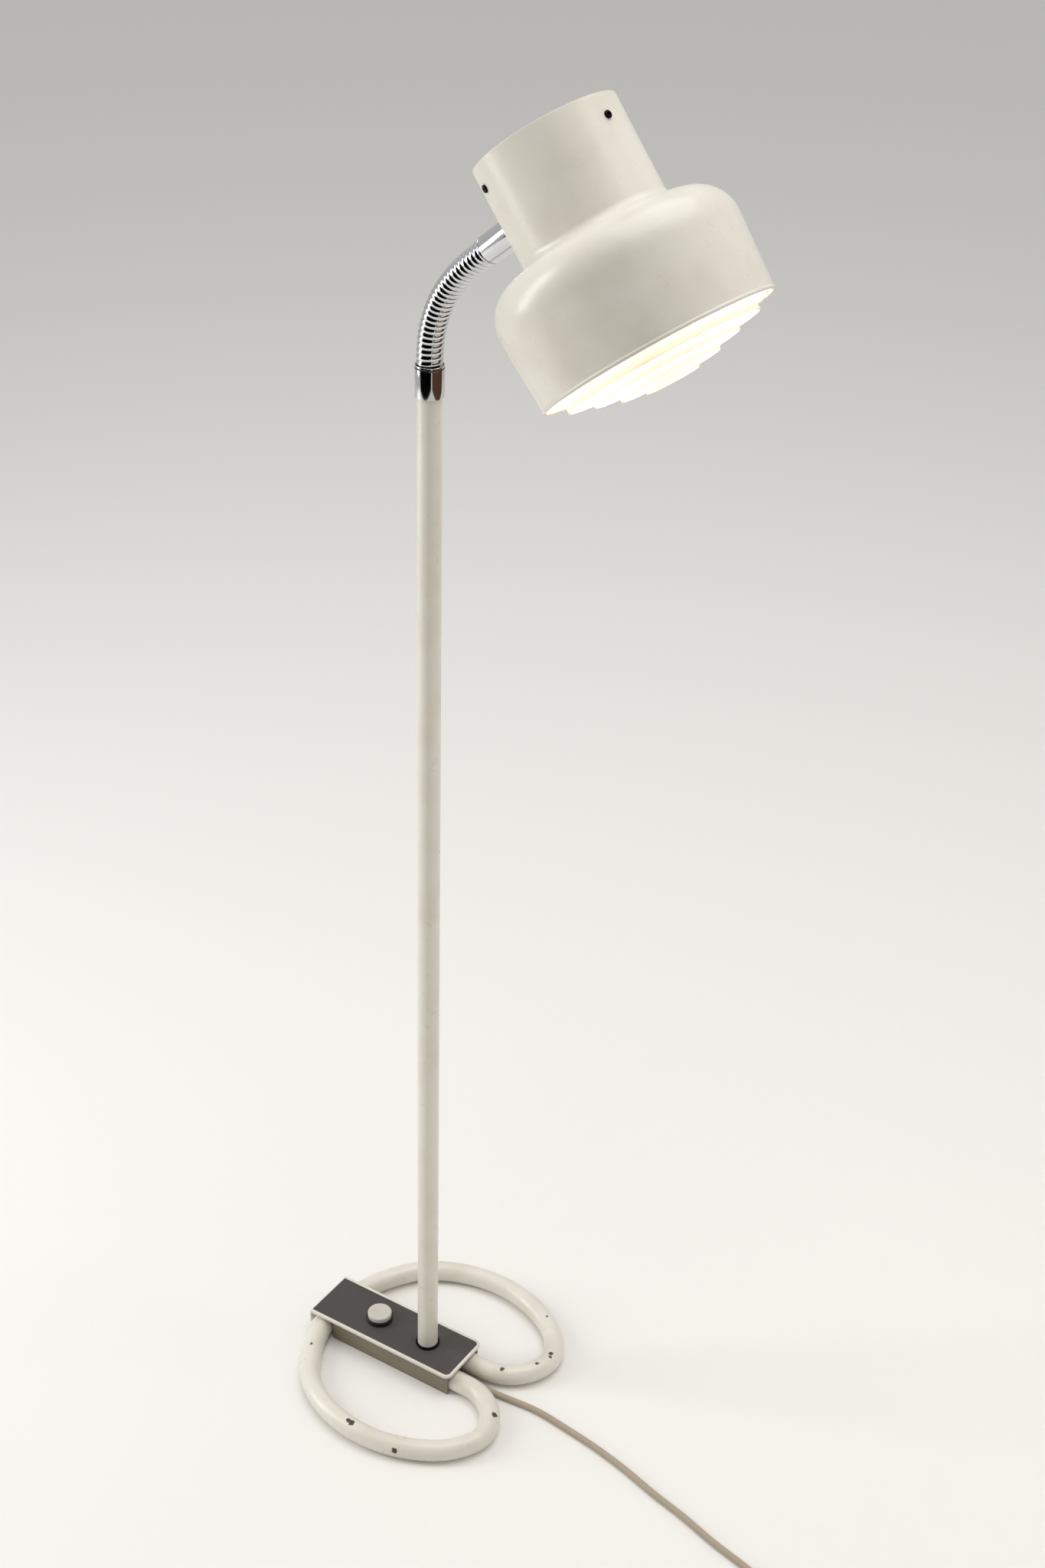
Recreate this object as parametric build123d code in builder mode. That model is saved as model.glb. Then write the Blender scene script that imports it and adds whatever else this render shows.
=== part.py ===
"""Gooseneck reading floor lamp, millimetres.

Frame: +X is forward, the way the housing's front end points, +Y is left, +Z is up.
The origin is on the post's axis at floor level.
"""

from build123d import *
from math import cos, pi, radians, sin, sqrt, tan
import os

os.makedirs("parts", exist_ok=True)

# ---- driving dimensions: overall -------------------------------------------------------------
POST_D = 20.0  # post tube, outside
POST_WALL = 1.2
POST_TOP_Z = 1034.0  # upper end of the tube, inside the ferrule
NECK_YAW = -6.0  # the post is turned this far in the base, degrees about +Z

# ---- clearances ------------------------------------------------------------------------------
SLIP = 0.1  # a seated part in its recess
PRESS = 0.02  # a plug in its tube, a nut on its thread
RUN = 0.05  # radial clearance of a sliding stem
AIR = 0.3  # parts that pass each other without touching

# ---- base bar: one bent round bar ------------------------------------------------------------
BAR_D = 20.0
BAR_REAR_X = -112.7  # centre line where the bar crosses behind the housing
BAR_GAP = 9.0  # between the two ends, side by side in the housing
BAR_END_X = 14.0  # where both ends stop, inside the housing
# each half, from the rear: (radius, angle) of each bend, or (length, 0) for a straight
BAR_BENDS = [(132.0, 33.0), (9.0, 0), (76.0, 24.0), (130.0, 66.0), (70.5, 33.0), (30.5, 36.5)]

# ---- housing, cover and dark panel -----------------------------------------------------------
COVER_T = 3.0
COVER_OVER_BAR = 3.0  # from the bar's top up to the cover
COVER_OVERHANG = 3.2  # beyond the housing's side walls
COVER_FRONT_X = 45.3
COVER_CORNER_R = 7.0
FLANGE_T = 1.5
FLANGE_LOW_Z = 11.0
PANEL_T = 1.5
PANEL_MARGIN = 2.8
PANEL_FRONT_R = 4.0
PANEL_REAR_R = 1.5
SHEET_T = 2.0
HOUSING_BEHIND_BAR = 4.7  # from the bar's rear crossing to the side walls
HOUSING_FRONT_X = 42.0
TONGUE_W = 8.4  # floor left between the bar's two ends, under the cord
TONGUE_END_X = 36.0
NOTCH_CLEAR = 2.0  # floor cut back behind the bar's ends

# ---- M3 screws of the base -------------------------------------------------------------------
SCREW_D = 3.0
SCREW_HEAD_D = 5.6
SCREW_HEAD_H = 1.4
SCREW_L = 8.0
PILLAR_D = 7.0
SPIGOT_D = 4.0
PILLAR_X = (-88.0, -26.0)
PILLAR_Y = 20.0

# ---- saddles under the cover -----------------------------------------------------------------
FRONT_SADDLE_X = (18.0, 40.0)
FRONT_SADDLE_LOW_Z = 12.0
FRONT_SADDLE_LAP = 14.0  # wider than the bar's lane by this much
FRONT_SCREWS_X = (21.5, 37.0)
CLAMP_X = (23.5, 35.0)
CLAMP_W = 7.0
CLAMP_GAP = 1.5  # from the tongue up to the clamp
CLAMP_SCREW_L = 14.0
REAR_SADDLE_PAST = 3.2  # reaches this far in front of the bar's rear crossing
REAR_SADDLE_W = 28.0
REAR_SADDLE_LOW_Z = 16.0
REAR_SCREW_IN = 0.3  # screw's axis, behind the bar's front side

# ---- foot switch -----------------------------------------------------------------------------
SWITCH_X = -59.0
SWITCH_W = 26.0
SWITCH_LOW_Z = 7.0
SWITCH_LID_T = 2.0
SWITCH_CAVITY_R = 7.5
BUSH_D = 12.0
BEZEL_D = 26.6
BEZEL_WALL = 1.0
BEZEL_H = 5.0
BEZEL_FLOOR = 1.4
CAP_H = 5.0
CAP_ROUND = 1.4
CAP_PROUD = 4.6  # cap's top above the bezel's rim
STEM_D = 6.0
STEM_LOW_Z = 12.4
RETAINER_D = 11.0
RETAINER_T = 1.5
BUTTON_SPRING_D = 8.6
BUTTON_SPRING_WIRE = 0.6
BUTTON_SPRING_TURNS = 3

# ---- terminal block --------------------------------------------------------------------------
BLOCK_X = (-42.0, -28.0)
BLOCK_W = 20.0
BLOCK_H = 14.0
BLOCK_BORE_D = 3.0
BLOCK_BORE_H = 8.5  # above the block's foot
BLOCK_SCREW_D = 2.6
BLOCK_SCREW_L = 3.5
BLOCK_SCREW_X = 4.0
BLOCK_POLE_Y = 5.0
LEAD_D = 2.0
LEAD_Y = 1.4  # the cord's two cores, each side of its middle
LEAD_INSERT = 4.0
LEAD_BEND_R = 4.0

# ---- post, its foot and its top --------------------------------------------------------------
WASHER_RIM = 2.0  # beyond the post
WASHER_T = 1.5
THREAD_D = 10.0
NIPPLE_BORE_D = 6.4
PLUG_IN_POST = 24.0
NIPPLE_LOW_Z = 13.0
FOOT_PLATE_X = 16.0
FOOT_PLATE_Y = 24.0
FOOT_PLATE_T = 2.5
NUT_AF = 15.0
NUT_T = 4.0
TOP_STUB_L = 8.0
CABLE_D = 5.0
CABLE_BEND_R = 8.0

# ---- ferrules --------------------------------------------------------------------------------
FERRULE_WALL = 1.8  # beyond the post's outside
FERRULE_LAP = 12.3  # down over the post's top
FERRULE_RISE = 14.0  # above it
FERRULE_LIP = 1.5  # a ferrule covers this much of the winding
FERRULE_RECESS = 3.5  # and is hollowed this deep below it
FERRULE_EDGE = 0.8
SLEEVE_L = 40.5  # upper ferrule, end of gooseneck to the shade's neck
SLEEVE_WALL_L = 3.0
SHANK_D = 14.4
LOW_SHANK_L = 12.2
TOP_SHANK_L = 14.0
GRUB_D = 2.4
GRUB_L = 3.6
GRUB_SUNK = 0.4
GRUB_FROM_NECK = 12.0
GRUB_ANGLE = 235.0

# ---- gooseneck: ball-jointed links, each with two turns of the round wire --------------------
LINKS = 13
LINK_TURNS = 2
TURN_PITCH = 4.78
GOOSE_D = 21.2
WIRE_D = 2.8
CORE_D = 14.4
COLLAR_D = 16.2
COLLAR_HALF = 1.2
BALL_R = 5.8
BALL_RISE = 2.6
CORE_GAP = 1.5  # between the cores of two links
CORE_BORE_D = 5.6
BUTT_GAP = 0.8  # between the wire's cut ends
# how far each link leans forward from the one below it in the stored pose, degrees
REST_BENDS = [4.0, 5.5, 5.5, 5.5, 5.5, 5.5, 5.0, 4.5, 4.0, 3.0, 1.5, 1.5]

# ---- shade -----------------------------------------------------------------------------------
NECK_R = 57.0
SHADE_H = 172.0
WAIST_H = 93.0
DRUM_R = 95.4
SHOULDER_R = 33.0
SHOULDER_STEP = 3.0  # neck to where the shoulder's round begins
MOUTH_R = 92.3
SHADE_T = 1.2
RIM_BEAD = 1.6
SEAT_DOWN = 43.0  # gooseneck's seat below the shade's top
NECK_SCREW_DOWN = 17.0
NECK_SCREW_D = 4.0
NECK_SCREW_HEAD_D = 6.0
NECK_SCREW_HEAD_H = 1.6
NECK_SCREW_SAG = 0.1  # a flat head stands this far off the round wall
NECK_SCREW_L = 6.0
NECK_SCREWS = 3
SADDLE_WASHER_R = 11.0
NECK_NUT_SEAT = 2.4
NIPPLE_PROUD = 3.0

# ---- lamp holder and bulb --------------------------------------------------------------------
PLATE_T = 1.5
PLATE_SKIRT = 12.0
VENTS = 6
VENT_R = 40.0
VENT_L = 22.0
VENT_W = 9.0
HOLDER_D = 40.0
HOLDER_L = 52.0
HOLDER_WALL = 2.0
HOLDER_ROUND = 5.0
HEAD_BEND_R = (6.0, 8.0)
CORE_BLOCK_H = 14.0
SOCKET_D = 27.6
SOCKET_WALL = 0.6
SOCKET_L = 24.0
CONTACT_D = 7.0
CONTACT_L = 3.0
BULB_D = 60.0
BULB_L = 107.0
BULB_CAP_D = 26.4
BULB_CAP_L = 26.0
BULB_CAP_WALL = 0.6
BULB_LEAVE = 38.0  # where the ball turns into the neck, degrees above its middle
BULB_DRAW = 15.0
GLASS_T = 1.0
GLASS_IN_CAP = 8.0
TIP_L = 3.0

# ---- louvre ----------------------------------------------------------------------------------
RING_R = (74.0, 55.5, 37.0, 18.5)
RING_LOW = (-8.9, -14.3, -19.7, -23.2)
RING_H = 18.0
RING_T = 1.2
RING_LEAN = 1.5
SPOKES = 3
SPOKE_T = 1.2
SPOKE_H = 8.0
SPOKE_TAB = 12.0
SPOKE_END = 3.0  # beyond the innermost ring
SPOKE_START = 60.0
NOTCH_REACH = 8.0

# ---- mains cord ------------------------------------------------------------------------------
CORD_D = 6.0
CORD_END_X = 22.0
# route from the clamp, down to the floor and along it to where the coil begins
CORD_ROUTE = [
    (48.0, 0.0, 5.0),
    (74.0, -2.0, 3.0),
    (101.0, 0.6, 3.0),
    (129.0, 3.2, 3.0),
    (163.0, -0.8, 3.0),
    (201.0, -5.6, 3.0),
    (240.0, -14.0, 3.0),
    (276.0, -24.6, 3.0),
    (313.0, -32.4, 3.0),
    (350.0, -44.0, 3.0),
    (388.0, -51.5, 3.0),
]
CORD_BEND = 0.45  # share of the shorter run that a bend's tangent takes
COIL_CENTRE = (469.0, -124.7)
COIL_START = 73.6  # direction of the entry from the coil's centre, degrees
COIL_R = 46.0
COIL_PITCH = 6.7
COIL_TURNS = 6.5
COIL_CLIMB = 0.5
COIL_LIFT = 1.2
COIL_LEAD = 48.0  # last run of the free cord, up to the coil
TIE_AT = 0.25
TIE_W = 6.0
TIE_T = 0.8
TIE_CORNER = 3.0

# ---- plug ------------------------------------------------------------------------------------
PLUG_LEAD = 12.0
RELIEF_L = 26.0
RELIEF_D = (7.4, 10.4)
PLUG_L = 38.0
PLUG_BACK = (12.0, 15.0)
PLUG_FRONT = (13.7, 26.0)
PLUG_CORNER = 4.0
PIN_D = 4.0  # bare metal tip
PIN_TIP_L = 9.0
PIN_SLEEVE_D = 3.6  # insulated part next to the body
PIN_SLEEVE_L = 10.0
PIN_DEPTH = 10.0
PIN_SPACING = 18.6

# ---- values that follow ----------------------------------------------------------------------
bar_r = BAR_D / 2
bar_lane = bar_r + BAR_GAP / 2
post_r = POST_D / 2
ferrule_r = post_r + FERRULE_WALL
ferrule_low_z = POST_TOP_Z - FERRULE_LAP
ferrule_top_z = POST_TOP_Z + FERRULE_RISE
post_bore_r = post_r - POST_WALL
cover_low_z = BAR_D + COVER_OVER_BAR
cover_top_z = cover_low_z + COVER_T
pocket_z = cover_top_z - PANEL_T
wall_in_y = bar_lane + bar_r + AIR
wall_out_y = wall_in_y + SHEET_T
cover_w = 2 * (wall_out_y + COVER_OVERHANG)
cover_rear_x = BAR_REAR_X - bar_r - AIR - FLANGE_T
housing_rear_x = BAR_REAR_X + bar_r + HOUSING_BEHIND_BAR
rear_saddle_x = (BAR_REAR_X - bar_r + AIR, BAR_REAR_X + bar_r + REAR_SADDLE_PAST)
rear_screw_x = BAR_REAR_X + bar_r - REAR_SCREW_IN
washer_top_z = cover_top_z + WASHER_T
bezel_top_z = cover_top_z + BEZEL_H
cap_top_z = bezel_top_z + CAP_PROUD
cap_low_z = cap_top_z - CAP_H
cap_r = BEZEL_D / 2 - BEZEL_WALL - AIR
retainer_low_z = STEM_LOW_Z + 1.6
cavity_top_z = retainer_low_z + RETAINER_T + AIR
link_l = LINK_TURNS * TURN_PITCH
goose_r = GOOSE_D / 2
wire_r = WIRE_D / 2
wind_r = goose_r - wire_r
goose_low_z = ferrule_top_z - FERRULE_LIP
recess_r = goose_r + 0.35
cord_r = CORD_D / 2
cord_in_z = SHEET_T + cord_r  # the cord lies on the housing's floor
clamp_low_z = SHEET_T + CLAMP_GAP + cord_r
lead_z = SHEET_T + BLOCK_BORE_H
pillars = [(px, py) for px in PILLAR_X for py in (-PILLAR_Y, PILLAR_Y)]
clamp_x = sum(CLAMP_X) / 2
drum_top_h = WAIST_H - SHOULDER_R - SHOULDER_STEP
seat_h = SHADE_H - SEAT_DOWN
neck_screw_h = SHADE_H - NECK_SCREW_DOWN


# ---- helpers ---------------------------------------------------------------------------------
def export(part, name):
    """Label a finished piece and write its STEP file."""
    part.label = name
    export_step(part, f"parts/{name}.step")


def unit(v):
    """A tuple's direction as a unit vector."""
    return Vector(*v).normalized()


def biarc(p0, t0, p1, t1):
    """Two tangent arcs from p0 to p1 that leave along t0 and arrive along t1."""
    chord = p1 - p0
    both = t0 + t1
    a = 2 * (1 - t0.dot(t1))
    b = 2 * chord.dot(both)
    c = -chord.dot(chord)
    reach = -c / b if abs(a) < 1e-9 else (-b + sqrt(b * b - 4 * a * c)) / (2 * a)
    q0 = p0 + t0 * reach
    q1 = p1 - t1 * reach
    joint = (q0 + q1) * 0.5
    TangentArc(p0, joint, tangent=t0)
    TangentArc(joint, p1, tangent=(q1 - q0).normalized())


def wound_path(state, start, end, step):
    """Biarcs along a curve; state(t) gives its point and its direction."""
    count = round((end - start) / step)
    for i in range(count):
        p0, t0 = state(start + (end - start) * i / count)
        p1, t1 = state(start + (end - start) * (i + 1) / count)
        biarc(p0, t0, p1, t1)


def least_gap(state, start, end, tube_d, samples):
    """Smallest gap of a wound tube to itself, measured on points of its centre line."""
    points = [state(start + (end - start) * i / samples)[0] for i in range(samples + 1)]
    run = (points[1] - points[0]).length
    skip = int(2.0 * tube_d / run) + 1
    least = 1e9
    for i in range(len(points) - skip):
        a = points[i]
        for b in points[i + skip :]:
            least = min(least, (a.X - b.X) ** 2 + (a.Y - b.Y) ** 2 + (a.Z - b.Z) ** 2)
    return sqrt(least) - tube_d


def tube(path, diameter):
    """A round solid along a path, inside the open part."""
    with BuildSketch(Plane(origin=path @ 0, z_dir=path % 0)) as ring:
        Circle(diameter / 2)
    sweep(sections=ring.sketch, path=path)


def corner_radii(points):
    """Radius of the bend at each inner point of a cord's route."""
    radii = []
    for a, b, c in zip(points, points[1:], points[2:]):
        run_in = b - a
        run_out = c - b
        turn = radians(run_in.get_angle(run_out))
        radii.append(CORD_BEND * min(run_in.length, run_out.length) / tan(turn / 2))
    return radii


def countersunk(length):
    """A countersunk screw, its head's top at the origin, pointing down."""
    with BuildPart() as screw:
        with BuildSketch(Plane.XZ):
            with BuildLine():
                Polyline(
                    (0, 0),
                    (SCREW_HEAD_D / 2, 0),
                    (SCREW_D / 2, -SCREW_HEAD_H),
                    (SCREW_D / 2, -length),
                    (0, -length),
                    close=True,
                )
            make_face()
        revolve(axis=Axis.Z)
    return screw.part


def countersink(x, y, top_z, depth, down=True):
    """Take a countersunk screw's hole out of the open part."""
    low = SCREW_D / 2 + SLIP
    high = SCREW_HEAD_D / 2 + SLIP
    side = -1 if down else 1
    cone = Cone(low, high, SCREW_HEAD_H, mode=Mode.PRIVATE)
    if not down:
        cone = Cone(high, low, SCREW_HEAD_H, mode=Mode.PRIVATE)
    cone = cone.moved(Location((x, y, top_z + side * SCREW_HEAD_H / 2)))
    hole = Cylinder(low, depth, mode=Mode.PRIVATE).moved(Location((x, y, top_z + side * depth / 2)))
    add(cone, mode=Mode.SUBTRACT)
    add(hole, mode=Mode.SUBTRACT)


def hex_nut(base, bore_r, thickness=NUT_T, across=NUT_AF):
    """A hexagonal nut that stands on a plane, along its normal."""
    with BuildPart() as nut:
        with BuildSketch(base):
            RegularPolygon(across / 2, 6, major_radius=False)
            Circle(bore_r, mode=Mode.SUBTRACT)
        extrude(amount=thickness)
    return nut.part


def leaned(base, distance, angle):
    """A plane further along a plane's normal, leaned forward about its own y axis."""
    a = radians(angle)
    z = base.z_dir * cos(a) + base.x_dir * sin(a)
    x = base.x_dir * cos(a) - base.z_dir * sin(a)
    return Plane(origin=base.origin + base.z_dir * distance, x_dir=x, z_dir=z)


# ---- frames of the gooseneck and head --------------------------------------------------------
yaw = radians(NECK_YAW)
goose_foot = Plane(origin=(0, 0, goose_low_z), x_dir=(cos(yaw), sin(yaw), 0), z_dir=(0, 0, 1))
link_frames = [goose_foot]
for bend in REST_BENDS:
    link_frames.append(leaned(link_frames[-1], link_l, bend))
goose_end = leaned(link_frames[-1], link_l, 0.0)
neck_face = leaned(goose_end, SLEEVE_L - FERRULE_LIP, 0.0)
# the shade's own frame: origin at the mouth's centre, z up its axis, x along the sleeve
shade_x = goose_end.z_dir
shade_z = -goose_end.x_dir
shade_foot = neck_face.origin + shade_x * NECK_R - shade_z * seat_h
shade_frame = Plane(origin=shade_foot, x_dir=shade_x, z_dir=shade_z)


# ======== BASE ================================================================================
# centre line of one half of the bar, from the rear crossing to its end in the housing
def bar_half():
    """Draw one half of the bar's centre line, tangent arc after tangent arc."""
    x, y, heading = BAR_REAR_X, 0.0, 0.0
    bends = list(BAR_BENDS)
    for size, angle in bends:
        turn = radians(angle)
        way = (sin(heading), cos(heading), 0)
        if angle:
            nx = x + size * (cos(heading) - cos(heading + turn))
            ny = y + size * (sin(heading + turn) - sin(heading))
            TangentArc((x, y, bar_r), (nx, ny, bar_r), tangent=way)
        else:
            nx = x + size * sin(heading)
            ny = y + size * cos(heading)
            Line((x, y, bar_r), (nx, ny, bar_r))
        x, y, heading = nx, ny, heading + turn
    # the last bend brings the bar into its lane, pointing back into the housing
    size = (y - bar_lane) / (1 + sin(heading))
    nx = x + size * cos(heading)
    TangentArc((x, y, bar_r), (nx, bar_lane, bar_r), tangent=(sin(heading), cos(heading), 0))
    Line((nx, bar_lane, bar_r), (BAR_END_X, bar_lane, bar_r))


with BuildPart() as base_bar:
    with BuildLine() as bar_line:
        bar_half()
        mirror(about=Plane.XZ)
    tube(bar_line.wire(), BAR_D)
    chamfer(base_bar.faces().filter_by(GeomType.PLANE).edges(), 1.0)
export(base_bar.part, "base_bar")

with BuildPart() as housing:
    with BuildSketch(Plane.YZ.offset(housing_rear_x)):
        with Locations((0, cover_low_z / 2)):
            Rectangle(2 * wall_out_y, cover_low_z)
        with Locations((0, cover_low_z / 2 + SHEET_T / 2)):
            Rectangle(2 * wall_in_y, cover_low_z - SHEET_T, mode=Mode.SUBTRACT)
    extrude(amount=HOUSING_FRONT_X - housing_rear_x)
    # the floor is cut away under the bar's two ends
    notch_x = (BAR_END_X - NOTCH_CLEAR, HOUSING_FRONT_X)
    notch_y = (TONGUE_W / 2, wall_in_y)
    with BuildSketch(Plane.XY):
        with Locations(*[(sum(notch_x) / 2, side * sum(notch_y) / 2) for side in (-1, 1)]):
            Rectangle(notch_x[1] - notch_x[0], notch_y[1] - notch_y[0])
        with Locations(((TONGUE_END_X + HOUSING_FRONT_X) / 2, 0)):
            Rectangle(HOUSING_FRONT_X - TONGUE_END_X, TONGUE_W)
    extrude(amount=SHEET_T, mode=Mode.SUBTRACT)
    for px, py in pillars:
        countersink(px, py, 0.0, SHEET_T, down=False)
export(housing.part, "housing")

with BuildPart() as cover:
    with BuildSketch(Plane.XY.offset(cover_low_z)):
        with Locations(((cover_rear_x + COVER_FRONT_X) / 2, 0)):
            Rectangle(COVER_FRONT_X - cover_rear_x, cover_w)
    extrude(amount=COVER_T)
    fillet(cover.edges().filter_by(Axis.Z).group_by(Axis.X)[-1], COVER_CORNER_R)
    # the rear end is folded down as a flange
    with BuildSketch(Plane.XY.offset(FLANGE_LOW_Z)):
        with Locations((cover_rear_x + FLANGE_T / 2, 0)):
            Rectangle(FLANGE_T, cover_w)
    extrude(amount=cover_low_z - FLANGE_LOW_Z)
    top_edges = cover.edges().filter_by(Axis.Y).group_by(Axis.Z)[-1]
    fillet(top_edges.sort_by(Axis.X)[0], FLANGE_T - AIR)
    # recess for the dark panel
    panel_x = (cover_rear_x + FLANGE_T, COVER_FRONT_X - PANEL_MARGIN)
    panel_w = cover_w - 2 * PANEL_MARGIN
    with BuildSketch(Plane.XY.offset(pocket_z)) as pocket:
        with Locations((sum(panel_x) / 2, 0)):
            Rectangle(panel_x[1] - panel_x[0], panel_w)
        fillet(pocket.vertices().group_by(Axis.X)[-1], PANEL_FRONT_R + SLIP)
    extrude(amount=PANEL_T, mode=Mode.SUBTRACT)
    with BuildSketch(Plane.XY.offset(cover_low_z)):
        Circle(THREAD_D / 2 + SLIP)
        with Locations((SWITCH_X, 0)):
            Circle(BUSH_D / 2 + SLIP)
        with Locations(*pillars):
            Circle(SPIGOT_D / 2 + SLIP)
    extrude(amount=COVER_T, mode=Mode.SUBTRACT)
    for sx in FRONT_SCREWS_X + (clamp_x, rear_screw_x):
        countersink(sx, 0.0, pocket_z, COVER_T)
export(cover.part, "cover")

with BuildPart() as top_panel:
    with BuildSketch(Plane.XY.offset(pocket_z)) as panel_outline:
        with Locations((sum(panel_x) / 2, 0)):
            Rectangle(panel_x[1] - panel_x[0] - 2 * SLIP, panel_w - 2 * SLIP)
        fillet(panel_outline.vertices().group_by(Axis.X)[0], PANEL_REAR_R)
        fillet(panel_outline.vertices().group_by(Axis.X)[-1], PANEL_FRONT_R)
        Circle(THREAD_D / 2 + SLIP, mode=Mode.SUBTRACT)
        with Locations((SWITCH_X, 0)):
            Circle(BUSH_D / 2 + SLIP, mode=Mode.SUBTRACT)
    extrude(amount=PANEL_T)
export(top_panel.part, "top_panel")

# blocks between the bar and the cover: one over its two ends, one over its rear crossing
with BuildPart() as bar_saddles:
    with BuildSketch(Plane.XY.offset(FRONT_SADDLE_LOW_Z)):
        with Locations((sum(FRONT_SADDLE_X) / 2, 0)):
            Rectangle(FRONT_SADDLE_X[1] - FRONT_SADDLE_X[0], 2 * bar_lane + FRONT_SADDLE_LAP)
    extrude(amount=cover_low_z - FRONT_SADDLE_LOW_Z)
    with BuildSketch(Plane.YZ.offset(FRONT_SADDLE_X[0])):
        with Locations((-bar_lane, bar_r), (bar_lane, bar_r)):
            Circle(bar_r + RUN)
    extrude(amount=FRONT_SADDLE_X[1] - FRONT_SADDLE_X[0], mode=Mode.SUBTRACT)
    with BuildSketch(Plane.XY.offset(REAR_SADDLE_LOW_Z)):
        with Locations((sum(rear_saddle_x) / 2, 0)):
            Rectangle(rear_saddle_x[1] - rear_saddle_x[0], REAR_SADDLE_W)
    extrude(amount=cover_low_z - REAR_SADDLE_LOW_Z)
    with Locations((BAR_REAR_X + BAR_BENDS[0][0], 0, bar_r)):
        Torus(BAR_BENDS[0][0], bar_r + RUN, mode=Mode.SUBTRACT)
    with BuildSketch(Plane.XY.offset(FRONT_SADDLE_LOW_Z)):
        with Locations(*[(sx, 0) for sx in FRONT_SCREWS_X + (rear_screw_x,)]):
            Circle(SCREW_D / 2 + PRESS)
        with Locations((clamp_x, 0)):
            Circle(SCREW_D / 2 + SLIP)
    extrude(amount=cover_low_z - FRONT_SADDLE_LOW_Z, mode=Mode.SUBTRACT)
export(bar_saddles.part, "bar_saddles")

with BuildPart() as housing_pillars:
    with BuildSketch(Plane.XY.offset(SHEET_T)):
        with Locations(*pillars):
            RegularPolygon(PILLAR_D / 2, 6, major_radius=False)
    extrude(amount=cover_low_z - SHEET_T)
    with BuildSketch(Plane.XY.offset(cover_low_z)):
        with Locations(*pillars):
            Circle(SPIGOT_D / 2)
    extrude(amount=pocket_z - cover_low_z)
    with BuildSketch(Plane.XY.offset(SHEET_T)):
        with Locations(*pillars):
            Circle(SCREW_D / 2 + PRESS)
    extrude(amount=SCREW_L, mode=Mode.SUBTRACT)
export(housing_pillars.part, "housing_pillars")

short_screw = countersunk(SCREW_L)
clamp_screw = countersunk(CLAMP_SCREW_L)
upward_screw = short_screw.rotate(Axis.X, 180)
with BuildPart() as base_screws:
    for sx in FRONT_SCREWS_X + (rear_screw_x,):
        add(short_screw.moved(Location((sx, 0, pocket_z))))
    add(clamp_screw.moved(Location((clamp_x, 0, pocket_z))))
    for px, py in pillars:
        add(upward_screw.moved(Location((px, py, 0))))
export(base_screws.part, "base_screws")

# ---- foot switch -----------------------------------------------------------------------------
with BuildPart() as switch_body:
    with BuildSketch(Plane.XY.offset(SWITCH_LOW_Z + SWITCH_LID_T)):
        with Locations((SWITCH_X, 0)):
            RectangleRounded(SWITCH_W, SWITCH_W, 2.0)
    extrude(amount=cover_low_z - SWITCH_LOW_Z - SWITCH_LID_T)
    with BuildSketch(Plane.XY.offset(cover_low_z)):
        with Locations((SWITCH_X, 0)):
            Circle(BUSH_D / 2)
    extrude(amount=COVER_T + BEZEL_FLOOR)
    with BuildSketch(Plane.XY.offset(SWITCH_LOW_Z + SWITCH_LID_T)):
        with Locations((SWITCH_X, 0)):
            Circle(SWITCH_CAVITY_R)
    extrude(amount=cavity_top_z - SWITCH_LOW_Z - SWITCH_LID_T, mode=Mode.SUBTRACT)
    with BuildSketch(Plane.XY.offset(cavity_top_z)):
        with Locations((SWITCH_X, 0)):
            Circle(STEM_D / 2 + RUN)
    extrude(amount=cover_top_z + BEZEL_FLOOR - cavity_top_z, mode=Mode.SUBTRACT)
export(switch_body.part, "switch_body")

with BuildPart() as switch_lid:
    with BuildSketch(Plane.XY.offset(SWITCH_LOW_Z)):
        with Locations((SWITCH_X, 0)):
            RectangleRounded(SWITCH_W, SWITCH_W, 2.0)
    extrude(amount=SWITCH_LID_T)
export(switch_lid.part, "switch_lid")

with BuildPart() as switch_bezel:
    with BuildSketch(Plane.XY.offset(cover_top_z)):
        with Locations((SWITCH_X, 0)):
            Circle(BEZEL_D / 2)
    extrude(amount=BEZEL_H)
    with BuildSketch(Plane.XY.offset(cover_top_z + BEZEL_FLOOR)):
        with Locations((SWITCH_X, 0)):
            Circle(BEZEL_D / 2 - BEZEL_WALL)
    extrude(amount=BEZEL_H, mode=Mode.SUBTRACT)
    with BuildSketch(Plane.XY.offset(cover_top_z)):
        with Locations((SWITCH_X, 0)):
            Circle(BUSH_D / 2 + PRESS)
    extrude(amount=BEZEL_FLOOR, mode=Mode.SUBTRACT)
    chamfer(switch_bezel.faces().sort_by(Axis.Z)[-1].outer_wire().edges(), BEZEL_WALL / 2)
export(switch_bezel.part, "switch_bezel")

with BuildPart() as button_cap:
    with BuildSketch(Plane.XY.offset(cap_low_z)):
        with Locations((SWITCH_X, 0)):
            Circle(cap_r)
    extrude(amount=CAP_H)
    fillet(button_cap.faces().sort_by(Axis.Z)[-1].edges(), CAP_ROUND)
    with BuildSketch(Plane.XY.offset(STEM_LOW_Z)):
        with Locations((SWITCH_X, 0)):
            Circle(STEM_D / 2)
    extrude(amount=cap_low_z - STEM_LOW_Z)
export(button_cap.part, "button_cap")

with BuildPart() as button_retainer:
    with BuildSketch(Plane.XY.offset(retainer_low_z)):
        with Locations((SWITCH_X, 0)):
            Circle(RETAINER_D / 2)
            Circle(STEM_D / 2, mode=Mode.SUBTRACT)
    extrude(amount=RETAINER_T)
export(button_retainer.part, "button_retainer")

# the return spring stands between the lid and the retaining ring
lid_top_z = SWITCH_LOW_Z + SWITCH_LID_T
spring_z = (lid_top_z + BUTTON_SPRING_WIRE / 2, retainer_low_z - BUTTON_SPRING_WIRE / 2)


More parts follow.
